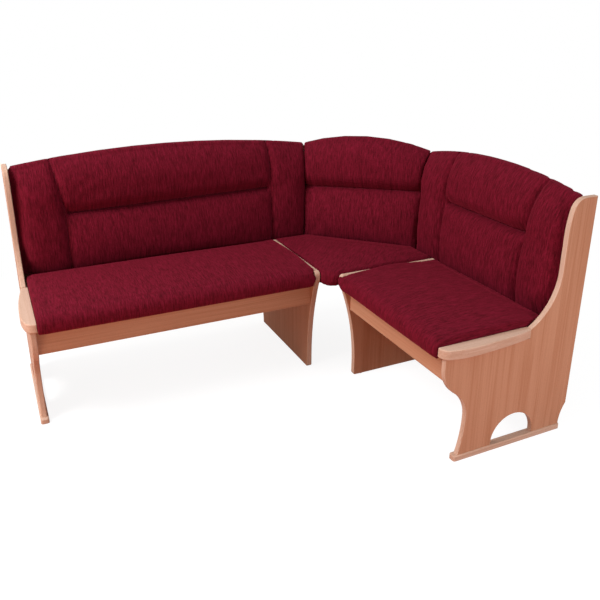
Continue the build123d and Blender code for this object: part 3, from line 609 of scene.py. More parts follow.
def swell(pads, held, padding, cap):
    """Blows up several covers at once by cloth simulation, held where they are sewn down or seated."""
    scene = bpy.context.scene
    starts = []
    for pad, hold in zip(pads, held):
        start = points_of(pad.data) - normals_of(pad.data) * (padding.start_inset * (1 - hold))[:, None]
        set_points(pad.data, start)
        starts.append(start)
    ends = []
    for pad, hold in zip(pads, held):
        group = pad.vertex_groups.new(name="held")
        for weight in np.unique(hold):
            group.add(np.flatnonzero(hold == weight).tolist(), float(weight), "REPLACE")
        cloth = pad.modifiers.new("Cover", "CLOTH")
        cloth.settings.quality = CLOTH_QUALITY
        cloth.settings.mass = CLOTH_MASS
        cloth.settings.use_pressure = True
        cloth.settings.uniform_pressure_force = padding.pressure
        cloth.settings.effector_weights.gravity = 0
        cloth.settings.vertex_group_mass = "held"
        cloth.point_cache.frame_start = 1
        cloth.point_cache.frame_end = padding.steps
    for step in range(1, padding.steps + 1):
        scene.frame_set(step)
    graph = bpy.context.evaluated_depsgraph_get()
    ends = [points_of(pad.evaluated_get(graph).data) for pad in pads]
    for pad, start, end in zip(pads, starts, ends):
        pad.modifiers.clear()
        pad.vertex_groups.clear()
        push = end - start
        reach = np.linalg.norm(push, axis=1)
        push *= np.minimum(1, cap / np.maximum(reach, TINY))[:, None]
        set_points(pad.data, start + push)
    scene.frame_set(1)


def fill_out(piece, node, side, limit):
    """Brings points of a cover that lie inside its solid out to the solid's surface.

    Points whose normals have more than the limit to the front are left where they are.
    """
    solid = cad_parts[node].data
    skin = surface_of([v.co for v in solid.vertices], solid)
    back = BENCH_FRAMES[side].inverted()
    points = points_of(piece.data)
    for i in np.flatnonzero(normals_of(piece.data)[:, 1] < limit):
        spot = BENCH_FRAMES[side] @ Vector(points[i])
        nearest, facing = skin.find_nearest(spot)[:2]
        if (spot - nearest).dot(facing) < 0:
            points[i] = back @ nearest
    set_points(piece.data, points)


def even_out(pad, node, side, limit):
    """Evens out a swollen cover, keeps it outside its solid, and halves its mesh's spacing."""
    relax(pad, 4)
    fill_out(pad, node, side, limit)
    reshape(pad, "SUBSURF", levels=1, render_levels=1)
    fill_out(pad, node, side, limit)
    relax(pad, 1)


def refine_near(piece, near):
    """Halves the mesh's edges where both ends are near a seam."""
    shape = bmesh.new()
    shape.from_mesh(piece.data)
    shape.verts.ensure_lookup_table()
    edges = [edge for edge in shape.edges if all(near[vert.index] for vert in edge.verts)]
    bmesh.ops.subdivide_edges(shape, edges=edges, cuts=1, use_grid_fill=True)
    shape.to_mesh(piece.data)
    shape.free()


def dress(piece, node, side, material, weave):
    mesh = piece.data
    thread = mesh.attributes.new("weave", "FLOAT_VECTOR", "POINT")
    thread.data.foreach_set("vector", weave.astype(np.float32).ravel())
    mesh.transform(BENCH_FRAMES[side])
    if BENCH_FRAMES[side].determinant() < 0:
        mesh.flip_normals()
    mesh.polygons.foreach_set("use_smooth", [True] * len(mesh.polygons))
    mesh.materials.clear()
    mesh.materials.append(material)
    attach(piece, "root")
    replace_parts(piece, node)


class BENCH_OT_beech(bpy.types.Operator):
    """Gives the panels, aprons, arm blocks and foot rails their beech"""

    bl_idname = "bench.beech"
    bl_label = "Beech panels"

    def execute(self, context):
        look = context.scene.bench_beech
        # Along and out are the axes of the part's frame that the bench runs along and faces
        for side, along, out in (("long", 0, 1), ("short", 1, 0)):
            upright = beech(f"beech veneer, upright, {side} bench", look, 2, along)
            paint([f"{side}_end_panel", f"{side}_corner_panel"], upright)
            paint([f"{side}_front_apron"], beech(f"beech veneer, level, {side} bench", look, along, out))
            paint([f"{side}_arm_block", f"{side}_foot_rail"], beech(f"solid beech, {side} bench", look, out))
        return {"FINISHED"}


class BENCH_OT_carcase(bpy.types.Operator):
    """Gives the boards, rails, cleats, dowels and fittings their finish"""

    bl_idname = "bench.carcase"
    bl_label = "Boards and fittings"

    def execute(self, context):
        # Sanded particle board: dull tan with chips of two shades
        board = speckled("particle board, sanded", "#c9a878", "#8d6a44", 0.0035, 0.85)
        paint([f"{side}_{kind}_board" for side in BENCH_FRAMES for kind in ("seat", "back")], board)
        # Planed spruce: pale straw with long soft figure, along the rails and the cleats
        straw = ("#dcc193", "#c29a63", 0.004, 0.6)
        along_x = speckled("planed spruce", *straw, fibre=(0, 0.4))
        along_y = speckled("planed spruce, short bench", *straw, fibre=(1, 0.4))
        paint(["long_rear_rail", "corner_rear_rail", "short_seat_cleats"], along_x)
        paint(["short_rear_rail", "long_seat_cleats", "corner_seat_cleats"], along_y)
        # Turned beech: plain pinkish tan with a fine dull grain
        paint(["rail_dowels", "arm_dowels"], speckled("turned beech dowel", "#cda77f", "#b58a60", 0.002, 0.6))
        paint(["back_end_brackets", "corner_straps", "cam_bolts"], steel_of())
        # Die-cast zinc: a duller grey metal than the plated steel, with a fine grain
        paint(["cam_discs"], speckled("die-cast zinc", "#aeb0b3", "#94969a", 0.002, 0.45, metallic=1.0))
        # Moulded polyethylene: dark brown with a soft waxy shine
        waxy = speckled("moulded polyethylene, brown", "#4a3527", "#3c2a1e", 0.0012, 0.55)
        paint(["floor_glides"], waxy)
        return {"FINISHED"}


def cloth_of(context):
    """The upholstery cloth, made once for seats and backs."""
    return bpy.data.materials.get("woven chenille, wine red") or chenille(context.scene.bench_cloth)


def steel_of():
    """Zinc-plated steel, made once for all metal fittings."""
    # Zinc plating: a cool grey metal with faint cloudy spangle
    return bpy.data.materials.get("zinc-plated steel") or speckled(
        "zinc-plated steel", "#c9cbcc", "#a9acb0", 0.006, 0.32, metallic=1.0, depth=0.00002
    )


# Rim of each seat cover beside a corner panel: its way along the wall, how far it swells over the panel
# at the rear and at the front, how far round the panel's front edge, how high it stands at the rear,
# how much higher it is than the solid all along, and in its middle
Rim = namedtuple("Rim", "way at_rear at_front round_edge rise fuller hump")
RIMS = {
    "long": Rim(-1, 0.009, 0.010, 0.010, 0.003, 0.003, 0.0),
    "corner": Rim(1, 0.014, 0.004, 0.0, 0.006, 0.0, 0.0),
    "short": Rim(-1, 0.006, 0.006, 0.022, 0.006, -0.002, 0.006),
}

# Place and half width of a rim's hump, as shares of the panel's depth
HUMP_PLACE = 0.6
HUMP_WIDTH = 0.13

# A rim laps from this far off the panel, and has its full swell this much further
LAP_CLEAR = 0.0005
LAP_EASE = 0.003

# The lobe round the panel's front edge starts this far under its top and is full this much higher.
# This share of it also stands out to the front.
LOBE_DROP = 0.05
LOBE_EASE = 0.03
LOBE_OUT = 0.4

# Height over which the corner seat's front edge comes to hang
SAG_EASE = 0.05


def lap_over(mesh, name, panel, padding):
    """Swells the rim of a seat cover over the corner panel beside it."""
    rim = RIMS[name]
    along, out, up = points_of(mesh).T
    _, forwards, upwards = normals_of(mesh).T
    (_, rear, _), (_, front, top) = panel
    edge = (rim.way * along).max()
    near = bell(edge - rim.way * along, padding.rim_width)
    forward = np.clip((out - rear) / (front - rear), 0, 1)
    standing = np.maximum(top + rim.rise * (1 - forward) - up, 0) * turned(upwards)
    swollen = rim.fuller + rim.hump * bell(forward - HUMP_PLACE, HUMP_WIDTH)
    up = up + (standing + swollen * np.maximum(upwards, 0)) * near
    out = out + LOBE_OUT * rim.round_edge * np.maximum(forwards, 0) * near
    above = ease((up - top - LAP_CLEAR) / LAP_EASE) * (rim.at_rear + (rim.at_front - rim.at_rear) * forward)
    lobe = rim.round_edge * ease((up - top + LOBE_DROP) / LOBE_EASE)
    before = ease((out - front - LAP_CLEAR) / LAP_EASE) * lobe
    along = along + rim.way * np.maximum(above, before) * near
    set_points(mesh, np.stack([along, out, up], 1))


def sag(mesh, padding):
    """Lets the corner seat's front edge hang in a shallow arc between the two corner panels."""
    along, out, up = points_of(mesh).T
    facing = normals_of(mesh)
    to_room = turned((facing[:, 0] + facing[:, 1]) * SLANT)
    across = (along - out) * SLANT
    arc = np.maximum(1 - (across / padding.belly_half) ** 2, 0)
    low = ease((up.max() - up) / SAG_EASE)
    set_points(mesh, np.stack([along, out, up - padding.belly_sag * to_room * arc * low], 1))


def seat_weave(mesh, slanted):
    """Where each point of a seat cover lies on its cloth, which wraps down over the front and the ends."""
    along, out, up = points_of(mesh).T
    across, forward, _ = normals_of(mesh).T
    if slanted:
        along, out = (along - out) * SLANT, (along + out) * SLANT
        across, forward = (across - forward) * SLANT, (across + forward) * SLANT
    steep = turned(np.hypot(across, forward))
    at_end = steep * across**2 / (across**2 + forward**2 + TINY)
    drop = up.max() - up
    return np.stack([along + np.sign(across) * drop * at_end, out + drop * (1 - at_end), 0 * up], 1)


# Parts of a normal from which a seat's cover counts as upright, as an end, and as facing the room
UPRIGHT = 0.5
AT_END = 0.8
TO_ROOM = 0.85

# Limits for fill_out, on how far normals face the front: every point, and all but a back's front
ALL_ROUND = 2.0
NOT_FRONT = 0.6


class BENCH_OT_seats(bpy.types.Operator):
    """Pads and covers the three seats"""

    bl_idname = "bench.seats"
    bl_label = "Seat cushions"

    def execute(self, context):
        padding = context.scene.bench_padding
        cloth = cloth_of(context)
        pieces = (("long", "long"), ("corner", "long"), ("short", "short"))
        pads, held = [], []
        for name, side in pieces:
            pad = cover_mesh(f"{name}_seat_cushion", f"{name}_seat_cover", side, padding.seat_voxel)
            facing = normals_of(pad.data)
            seated = facing[:, 2] < -UPRIGHT
            if name == "corner":
                towards_room = (facing[:, 0] + facing[:, 1]) * SLANT > TO_ROOM
                boxed_in = (np.abs(facing[:, 2]) < UPRIGHT) & ~towards_room
            else:
                boxed_in = np.abs(facing[:, 0]) > AT_END
            held.append(np.where(seated | boxed_in, 1.0, 0.0))
            pads.append(pad)
        swell(pads, held, padding, padding.seat_swell)
        for pad, (name, side) in zip(pads, pieces):
            even_out(pad, f"{name}_seat_cushion", side, ALL_ROUND)
            lap_over(pad.data, name, bench_box(f"{side}_corner_panel", side), padding)
            if name == "corner":
                sag(pad.data, padding)
            weave = seat_weave(pad.data, name == "corner")
            dress(pad, f"{name}_seat_cushion", side, cloth, weave)
        return {"FINISHED"}


# Height of each back's cross seam at the room corner's side, and how far it climbs per metre along the bench
CROSS_SEAMS = {"long": (0.672, -0.02), "corner": (0.67, -0.036), "short": (0.677, 0.0)}

# Height of a back over its cross seam, in which the outer seams lean
UPPER_RISE = 0.18

# Half width of the finer mesh along a seam, and of the strip that is held while the cover swells
FINE_WIDTH = 0.03
HELD_WIDTH = 0.02

# Parts of a normal to the front: least for finer mesh, where seams start to draw in and over what span
# they come to their full depth, and the most at which a cover is held against its board
FINE_FRONT = 0.1
SEWN_FRONT = 0.15
SEWN_SPAN = 0.3
HELD_FRONT = 0.2

# Shortest and longest pucker, how many waves of them are summed, and what the cross seam adds to the seed
PUCKERS = (0.018, 0.04)
WAVES = 4
CROSS_SEED = 5

# Reach of the puckers from an upright seam and from the cross seam
UPRIGHT_PUCKER = 0.03
CROSS_PUCKER = 0.035

# Width over which the cloth follows an upright seam's lean, height over which it follows the cross seam's
# climb, and how far from an upright seam the cross seam has its full depth
LEAN_REACH = 0.06
CLIMB_REACH = 0.07
CROSS_STOP = 0.015

# Height over which a back's end is rounded at its foot and top, and how far over the top that starts
END_EASE = 0.1
END_OVER = 0.02

# The lip over the fold: its size as a share of the sag, and its height as a share of the fold's
LIP_SHARE = 0.8
LIP_RISE = 1.5

# Heights over the cross seam at which the upper pad hangs fully, and over which the hang fades
HANG_EASE = 0.012
HANG_FADE = 0.04

# Stitches stop this far from a back's foot and top, from the corner back's ends, and from an upright seam,
# and those of the cross seam lie this far under its line
STITCH_STOP = 0.03
CORNER_STOP = 0.05
SEAM_STOP = 0.01
STITCH_DROP = 0.002


def cross_line(side, along, padding):
    """Height of a back's cross seam. It runs a little out of level, as it was sewn."""
    height, climb = CROSS_SEAMS[side]
    start = 0.0 if side == "corner" else padding.inner_seam
    return height + climb * (along - start)


def upright_seams(side, padding):
    """Channel place, shift and lean of each upright seam in a back. The corner back has none."""
    if side == "corner":
        return []
    inner_face = bench_box(f"{side}_end_panel", side)[0][0]
    outer = (inner_face - padding.side_field, -padding.seam_shift, padding.seam_lean)
    return [(padding.inner_seam, 0.0, 0.0), outer]


def seam_line(seam, up, padding):
    """Where an upright seam is at a height. It leans out over the cross seam only."""
    place, shift, lean = seam
    return place + shift + lean * np.maximum(up - padding.seam_height, 0) / UPPER_RISE


def near_seam(mesh, side, padding):
    """True for the points in front that a seam draws in."""
    along, _, up = points_of(mesh).T
    near = np.abs(up - cross_line(side, along, padding)) < FINE_WIDTH
    for seam in upright_seams(side, padding):
        near |= np.abs(along - seam_line(seam, up, padding)) < FINE_WIDTH
    return near & (normals_of(mesh)[:, 1] > FINE_FRONT)


def ripple(run, seed):
    """An uneven wave between -1 and 1 along a seam, with puckers about 25 mm apart."""
    chance = np.random.default_rng(seed)
    pitches = chance.uniform(*PUCKERS, WAVES)
    starts = chance.uniform(0, 2 * np.pi, WAVES)
    return sum(np.sin(2 * np.pi * run / pitch + start) for pitch, start in zip(pitches, starts)) / WAVES


def sew(pad, side, padding):
    """Draws a back's seams into its cover: leaning upright valleys and a cross seam with a hanging fold."""
    mesh = pad.data
    along, out, up = points_of(mesh).T
    front = ease((normals_of(mesh)[:, 1] - SEWN_FRONT) / SEWN_SPAN)
    furthest = along.max()
    foot = up.min()
    crossed = np.ones_like(up)
    for number, seam in enumerate(upright_seams(side, padding)):
        line = seam_line(seam, up, padding)
        along = along + (line - seam[0]) * bell(along - seam[0], LEAN_REACH) * front
        off = along - line
        valley = padding.seam_depth * bell(off, padding.seam_width)
        crease = padding.crease_depth * bell(off, padding.crease_width)
        waves = padding.pucker * ripple(up, padding.seed + number) * np.exp(-np.abs(off) / UPRIGHT_PUCKER)
        out = out - front * (valley + crease - waves)
        crossed *= ease((off if number == 0 else -off) / CROSS_STOP)
    if side != "corner":
        low_end = ease(1 - (up - foot) / END_EASE)
        at_end = bell(furthest - along, padding.end_width * (1 + low_end))
        end_top = up[along > furthest - padding.end_width].max()
        out = out - front * padding.end_roll * at_end * ease((end_top - up + END_OVER) / END_EASE)
        up = up + padding.end_lift * at_end * low_end
    level = cross_line(side, along, padding)
    up = up + front * crossed * (level - padding.seam_height) * bell(up - level, CLIMB_REACH)
    rise = up - level
    fade = np.where(rise > 0, rise / padding.fold_over, -rise / padding.fold_under)
    fold = padding.fold_depth * np.exp(-fade)
    lip = LIP_SHARE * padding.fold_sag * bell(rise - LIP_RISE * padding.fold_over, padding.fold_over)
    waves = padding.pucker * ripple(along, padding.seed + CROSS_SEED) * np.exp(-np.abs(rise) / CROSS_PUCKER)
    out = out - front * crossed * (fold - lip - waves)
    hang = padding.fold_sag * ease(rise / HANG_EASE) * np.exp(-np.maximum(rise, 0) / HANG_FADE)
    up = up - front * crossed * hang
    set_points(mesh, np.stack([along, out, up], 1))


def stitch_places(pad, side, padding, pitch):
    """Places of the stitches along a back's seams, found on its cover by casting from the front."""
    mesh = pad.data
    surface = surface_of([v.co.copy() for v in mesh.vertices], mesh)
    low, high = points_of(mesh).min(0), points_of(mesh).max(0)
    seams = upright_seams(side, padding)
    rises = np.arange(low[2] + STITCH_STOP, high[2] - STITCH_STOP, pitch)
    rows = [[(seam_line(seam, z, padding), z) for z in rises] for seam in seams]
    ends = [low[0] + CORNER_STOP, high[0] - CORNER_STOP]
    if seams:
        ends = [seam_line(seam, padding.seam_height, padding) for seam in seams]
    runs = np.arange(ends[0] + SEAM_STOP, ends[1] - SEAM_STOP, pitch)
    rows.append([(x, cross_line(side, x, padding) - STITCH_DROP) for x in runs])
    turn = BENCH_FRAMES[side].to_3x3()
    places = []
    for row in rows:
        hits = [surface.ray_cast(Vector((x, high[1] + CAST, z)), Vector((0, -1, 0))) for x, z in row]
        spots = [(hit[0], hit[1]) for hit in hits if hit[0]]
        for (point, face), (following, _) in zip(spots, spots[1:]):
            places.append((BENCH_FRAMES[side] @ point, turn @ (following - point), turn @ face, 0.0))
    return places


class BENCH_OT_backs(bpy.types.Operator):
    """Pads, sews and covers the three backs"""

    bl_idname = "bench.backs"
    bl_label = "Back cushions"

    def execute(self, context):
        padding = context.scene.bench_padding
        fittings = context.scene.bench_fittings
        cloth = cloth_of(context)
        # Polyester thread: twisted and slightly glossy, in the cloth's own wine red
        thread = speckled("polyester thread, wine red", "#5a1022", "#3f0815", 0.0006, 0.6)
        sizes = {"Length": fittings.stitch_length, "Thread": fittings.thread_width}
        stitch = stitch_tree(sizes, thread)
        pads, held = [], []
        for side in BENCH_FRAMES:
            pad = cover_mesh(f"{side}_back_cushion", f"{side}_back_cover", side, padding.back_voxel)
            facing = normals_of(pad.data)
            along, _, up = points_of(pad.data).T
            sewn = bell(up - padding.seam_height, HELD_WIDTH) if side == "corner" else 0 * up
            for seam in upright_seams(side, padding):
                sewn = np.maximum(sewn, bell(along - seam[0], HELD_WIDTH))
            held.append(np.where(facing[:, 1] < HELD_FRONT, 1.0, np.round(sewn, 1)))
            pads.append(pad)
        swell(pads, held, padding, padding.back_swell)
        for pad, side in zip(pads, BENCH_FRAMES):
            even_out(pad, f"{side}_back_cushion", side, NOT_FRONT)
            refine_near(pad, near_seam(pad.data, side, padding))
            sew(pad, side, padding)
            places = stitch_places(pad, side, padding, fittings.stitch_pitch)
            repeat(f"{side}_back_stitches", stitch, places, sizes)
            along, out, up = points_of(pad.data).T
            weave = np.stack([along, up - out, 0 * up], 1)
            dress(pad, f"{side}_back_cushion", side, cloth, weave)
        return {"FINISHED"}


def solids_of(node):
    """The separate solids of a node, each as an array of its points."""
    shape = bmesh.new()
    shape.from_mesh(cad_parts[node].data)
    bmesh.ops.remove_doubles(shape, verts=shape.verts, dist=MERGE)
    shape.verts.index_update()
    seen = set()
    found = []
    for first in shape.verts:
        if first.index in seen:
            continue
        seen.add(first.index)
        solid = [first]
        # The list grows while it is walked, so that it ends with all points of the solid in a fixed order
        for vert in solid:
            beside = [edge.other_vert(vert) for edge in vert.link_edges]
            fresh = [other for other in beside if other.index not in seen]
            seen.update(other.index for other in fresh)
            solid += fresh
        found.append(np.array([vert.co for vert in solid]))
    shape.free()
    return found


def screw_places(node, head_height):
    """Seat, heading and shank length of each screw in a node, from its solids."""
    places = []
    for solid in solids_of(node):
        centre = (solid.min(0) + solid.max(0)) / 2
        axis = np.linalg.svd(solid - solid.mean(0))[2][0]
        run = (solid - centre) @ axis
        girth = np.linalg.norm(solid - centre - run[:, None] * axis, axis=1)
        if girth[run < 0].max() > girth[run > 0].max():
            axis, run = -axis, -run
        face = Vector(axis)
        seat = Vector(centre) + face * (run.max() - head_height)
        lie = face.orthogonal()
        places.append((seat, lie, face, run.max() - run.min() - head_height))
    return places


class BENCH_OT_screws(bpy.types.Operator):
    """Replaces the plain screws by screws with a recessed head"""

    bl_idname = "bench.screws"
    bl_label = "Screws"

    def execute(self, context):
        fittings = context.scene.bench_fittings
        sizes = {
            "Head width": fittings.head_width,
            "Head height": fittings.head_height,
            "Shank width": fittings.shank_width,
            "Recess width": fittings.recess_width,
        }
        tree = screw_tree(sizes, steel_of())
        for kind in ("foot_rail", "cleat", "seat", "back", "back_bracket", "corner_strap"):
            node = f"{kind}_screws"
            places = screw_places(node, fittings.head_height)
            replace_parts(repeat(f"{kind}_pan_heads", tree, places, sizes), node)
        return {"FINISHED"}


# How far a lining's mesh stays inside the ends and the top of its solid
SHEET_END = 0.001
SHEET_TOP = 0.0005

# How far a lining's edge is drawn in between staples, and the height, slant and seed of its slight waves
DRAWN_IN = 0.0012
WAVE_HEIGHT = 0.0002
WAVE_SLANT = 0.6
WAVE_SEED = 3

# How far ahead along the edge a staple looks for the way that it lies
STAPLE_AHEAD = 0.01


class BENCH_OT_linings(bpy.types.Operator):
    """Stretches and staples the cloth linings behind the backs"""

    bl_idname = "bench.linings"
    bl_label = "Linings"

    def execute(self, context):
        fittings = context.scene.bench_fittings
        # Non-woven polypropylene: a dull near-black felt with a fine embossed speckle
        felt = speckled("non-woven polypropylene lining", "#2f2c2b", "#1f1d1c", 0.0018, 0.9, depth=0.0003)
        sizes = {"Crown": fittings.staple_crown, "Leg": fittings.staple_leg, "Wire": fittings.staple_wire}
        staple = staple_tree(sizes, steel_of())
        metal = [*solids_of("back_end_brackets"), *solids_of("corner_straps")]
        for side in BENCH_FRAMES:
            rows = self.make_sheet(side, felt, fittings)
            places = self.staple_places(side, rows, fittings, metal)
            repeat(f"{side}_lining_staples", staple, places, sizes)
        return {"FINISHED"}

    def make_sheet(self, side, felt, fittings):
        """A sheet with the lining's arched outline, a little drawn in between its staples."""
        node = f"{side}_back_lining"
        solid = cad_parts[node].data
        local = [BENCH_FRAMES[side].inverted() @ v.co for v in solid.vertices]
        outline = surface_of(local, solid)
        low, high = np.min(local, 0), np.max(local, 0)
        depth = (low[1] + high[1]) / 2
        columns = round((high[0] - low[0]) / fittings.weave_step)
        steps = round((high[2] - low[2]) / fittings.weave_step)
        rows = np.zeros((columns + 1, steps + 1, 3))
        for i, x in enumerate(np.linspace(low[0] + SHEET_END, high[0] - SHEET_END, columns + 1)):
            top = outline.ray_cast(Vector((x, depth, high[2] + CAST)), Vector((0, 0, -1)))[0].z
            rows[i] = [(x, depth, z) for z in np.linspace(low[2], top - SHEET_TOP, steps + 1)]
        drawn = DRAWN_IN * np.sin(np.pi * rows / fittings.staple_pitch) ** 2
        rows[0, :, 0] += drawn[0, :, 2]
        rows[-1, :, 0] -= drawn[-1, :, 2]
        rows[:, 0, 2] += drawn[:, 0, 0]
        rows[:, -1, 2] -= drawn[:, -1, 0]
        inner = rows[1:-1, 1:-1]
        inner[:, :, 1] += WAVE_HEIGHT * ripple(inner[:, :, 0] + WAVE_SLANT * inner[:, :, 2], WAVE_SEED)
        wide = steps + 1
        faces = [
            (i * wide + j, i * wide + j + 1, (i + 1) * wide + j + 1, (i + 1) * wide + j)
            for i in range(columns)
            for j in range(steps)
        ]
        mesh = bpy.data.meshes.new(f"{side}_lining_cloth")
        mesh.from_pydata([BENCH_FRAMES[side] @ Vector(p) for p in rows.reshape(-1, 3)], [], faces)
        if mesh.polygons[0].normal.dot(BENCH_FRAMES[side].to_3x3() @ Vector((0, -1, 0))) < 0:
            mesh.flip_normals()
        mesh.materials.append(felt)
        piece = new_piece(f"{side}_lining_cloth", mesh)
        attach(piece, "root")
        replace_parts(piece, node)
        return rows

    def staple_places(self, side, rows, fittings, metal):
        """Places of the staples round a lining's edge, clear of the brackets and straps."""
        turn = BENCH_FRAMES[side].to_3x3()
        inset = fittings.staple_inset
        pitch = fittings.staple_pitch
        clear = fittings.staple_crown
        edges = (
            (rows[:, 0], (0, 0, inset)),
            (rows[:, -1], (0, 0, -inset)),
            (rows[0], (inset, 0, 0)),
            (rows[-1], (-inset, 0, 0)),
        )
        places = []
        for edge, shift in edges:
            runs = np.concatenate([[0], np.cumsum(np.linalg.norm(np.diff(edge, axis=0), axis=1))])
            count = round((runs[-1] - 2 * pitch) / pitch)
            for run in np.linspace(pitch, runs[-1] - pitch, count + 1):
                point, ahead = (
                    np.array([np.interp(at, runs, edge[:, axis]) for axis in range(3)]) + shift
                    for at in (run, run + STAPLE_AHEAD)
                )
                spot = BENCH_FRAMES[side] @ Vector(point)
                covered = [
                    np.all(spot > solid.min(0) - clear) and np.all(spot < solid.max(0) + clear)
                    for solid in metal
                ]
                if not any(covered):
                    places.append((spot, turn @ Vector(ahead - point), turn @ Vector((0, -1, 0)), 0.0))
        return places


# Place and size of each lamp: the key high at the left, the fill in front, and one low at the left
LAMPS = {"key": ((-2.85, 0.0, 3.1), 1.8), "fill": ((0.8, -2.2, 0.6), 0.9), "side": ((-2.4, -1.1, 0.22), 0.8)}
LAMP_AIM = Vector((0.1, 0.0, 0.45))

# Shares of the ambient light from below and from above
FROM_BELOW = 0.48
FROM_ABOVE = 1.25

# Floor as the camera sees it: the grey that takes a shadow, the glow that lifts it to white, and the
# distances from the middle at which it starts to fade and is plain white
SHADOW_GREY = (0.22, 0.22, 0.22, 1)
FLOOR_GLOW = 0.88
FADE_START = 1.1
FADE_END = 2.0
FLOOR_HALF = 12.0

SENSOR_WIDTH = 36.0


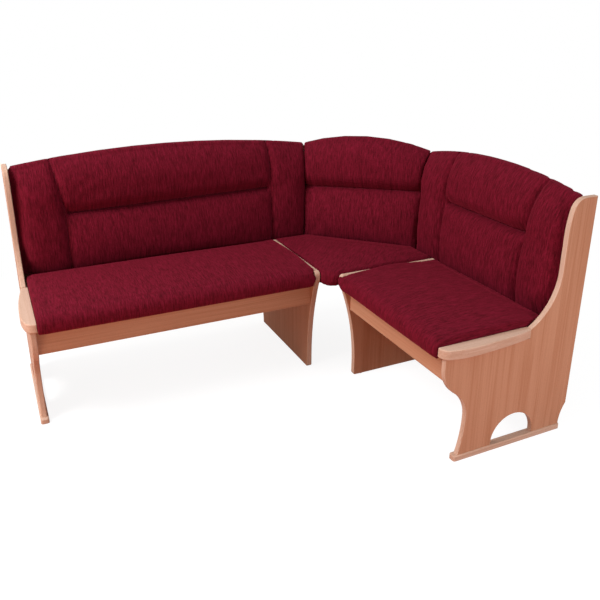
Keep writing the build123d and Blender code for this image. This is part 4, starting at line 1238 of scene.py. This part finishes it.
class BENCH_OT_stage(bpy.types.Operator):
    """Sets the floor, the light and the camera"""

    bl_idname = "bench.stage"
    bl_label = "Stage"

    def execute(self, context):
        stage = context.scene.bench_stage
        scene = context.scene
        scene.view_settings.view_transform = "Standard"
        self.make_world(scene, stage)
        self.make_floor(stage)
        for name, (place, size) in LAMPS.items():
            lamp = self.make_lamp(scene, f"{name}_lamp", place, size, getattr(stage, f"{name}_power"))
            if name == "side":
                lamp.color = stage.side_tint[:3]
        self.make_camera(scene, stage)
        return {"FINISHED"}

    def seen_rays(self, node):
        """One for the rays that should meet the white background: camera, glossy and transmission rays."""
        path = node("ShaderNodeLightPath").outputs
        first = {0: path["Is Camera Ray"], 1: path["Is Glossy Ray"]}
        both = {0: node("ShaderNodeMath", first, operation="MAXIMUM"), 1: path["Is Transmission Ray"]}
        return node("ShaderNodeMath", both, operation="MAXIMUM")

    def make_world(self, scene, stage):
        """A soft dome that is brighter above, and plain white where it is seen."""
        world = bpy.data.worlds.new("studio")
        world.use_nodes = True
        world.node_tree.nodes.clear()
        node = partial(add_node, world.node_tree)
        place = node("ShaderNodeTexCoord").outputs["Generated"]
        rise = node("ShaderNodeSeparateXYZ", {0: place}).outputs["Z"]
        span = {"Value": rise, "To Min": FROM_BELOW * stage.ambient, "To Max": FROM_ABOVE * stage.ambient}
        dome = node("ShaderNodeMapRange", span)
        soft = node("ShaderNodeBackground", {"Color": WHITE, "Strength": dome})
        white = node("ShaderNodeBackground", {"Color": WHITE, "Strength": 1.0})
        chosen = node("ShaderNodeMixShader", {0: self.seen_rays(node), 1: soft, 2: white})
        node("ShaderNodeOutputWorld", {"Surface": chosen})
        scene.world = world

    def make_floor(self, stage):
        """A matt floor: white with a soft shadow where it is seen, and a warm bounce for the bench."""
        material, node = start_material("studio floor, matt white")
        plain = node("ShaderNodeBsdfDiffuse", {"Color": stage.floor})
        catcher = node("ShaderNodeBsdfDiffuse", {"Color": SHADOW_GREY})
        glow = node("ShaderNodeEmission", {"Color": WHITE, "Strength": FLOOR_GLOW})
        near = node("ShaderNodeAddShader", {0: catcher, 1: glow})
        far = node("ShaderNodeEmission", {"Color": WHITE, "Strength": 1.0})
        place = node("ShaderNodeTexCoord").outputs["Object"]
        away = node("ShaderNodeVectorMath", {0: place}, operation="LENGTH").outputs["Value"]
        span = {"Value": away, "From Min": FADE_START, "From Max": FADE_END}
        fade = node("ShaderNodeMapRange", span, interpolation_type="SMOOTHSTEP")
        white = node("ShaderNodeMixShader", {0: fade, 1: near, 2: far})
        chosen = node("ShaderNodeMixShader", {0: self.seen_rays(node), 1: plain, 2: white})
        node("ShaderNodeOutputMaterial", {"Surface": chosen})
        mesh = bpy.data.meshes.new("floor")
        corners = [(x * FLOOR_HALF, y * FLOOR_HALF, 0) for x, y in ((-1, -1), (1, -1), (1, 1), (-1, 1))]
        mesh.from_pydata(corners, [], [(0, 1, 2, 3)])
        mesh.materials.append(material)
        new_piece("floor", mesh)

    def make_lamp(self, scene, name, place, size, power):
        """A square lamp that is aimed at the bench and not seen itself."""
        lamp = bpy.data.lights.new(name, "AREA")
        lamp.size = size
        lamp.energy = power
        stand = bpy.data.objects.new(name, lamp)
        stand.location = place
        stand.visible_camera = False
        aim = LAMP_AIM - Vector(place)
        stand.rotation_euler = aim.to_track_quat("-Z", "Y").to_euler()
        scene.collection.objects.link(stand)
        return lamp

    def make_camera(self, scene, stage):
        """The camera at the place and heading that the photograph was taken from."""
        data = bpy.data.cameras.new("camera")
        data.sensor_width = SENSOR_WIDTH
        data.lens = stage.lens
        data.shift_x, data.shift_y = stage.shift
        camera = bpy.data.objects.new("camera", data)
        level = math.cos(stage.camera_tilt)
        to_x = math.sin(stage.camera_turn) * level
        to_y = math.cos(stage.camera_turn) * level
        view = Vector((to_x, to_y, -math.sin(stage.camera_tilt)))
        camera.location = stage.camera_place
        camera.rotation_mode = "QUATERNION"
        camera.rotation_quaternion = view.to_track_quat("-Z", "Y") @ Quaternion((0, 0, 1), stage.camera_roll)
        scene.collection.objects.link(camera)
        scene.camera = camera


class BENCH_PT_panel(bpy.types.Panel):
    """Lists the bench's settings and steps"""

    bl_idname = "BENCH_PT_panel"
    bl_label = "Corner Bench"
    bl_space_type = "VIEW_3D"
    bl_region_type = "UI"
    bl_category = "Corner Bench"

    def draw(self, context):
        for group in GROUPS.values():
            box = self.layout.box()
            settings = getattr(context.scene, group)
            for name in type(settings).__annotations__:
                box.prop(settings, name)
        for step in STEPS:
            self.layout.operator(step.bl_idname)


GROUPS = {
    BenchBeech: "bench_beech",
    BenchCloth: "bench_cloth",
    BenchPadding: "bench_padding",
    BenchFittings: "bench_fittings",
    BenchStage: "bench_stage",
}
STEPS = (
    BENCH_OT_beech,
    BENCH_OT_carcase,
    BENCH_OT_seats,
    BENCH_OT_backs,
    BENCH_OT_screws,
    BENCH_OT_linings,
    BENCH_OT_stage,
)


def register():
    for group, name in GROUPS.items():
        bpy.utils.register_class(group)
        setattr(bpy.types.Scene, name, PointerProperty(type=group))
    for step in (*STEPS, BENCH_PT_panel):
        bpy.utils.register_class(step)


def unregister():
    for step in reversed((*STEPS, BENCH_PT_panel)):
        bpy.utils.unregister_class(step)
    for group, name in reversed(GROUPS.items()):
        delattr(bpy.types.Scene, name)
        bpy.utils.unregister_class(group)


def main():
    """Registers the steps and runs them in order."""
    register()
    bpy.ops.bench.beech()
    bpy.ops.bench.carcase()
    bpy.ops.bench.seats()
    bpy.ops.bench.backs()
    bpy.ops.bench.screws()
    bpy.ops.bench.linings()
    bpy.ops.bench.stage()


if __name__ == "__main__":
    main()
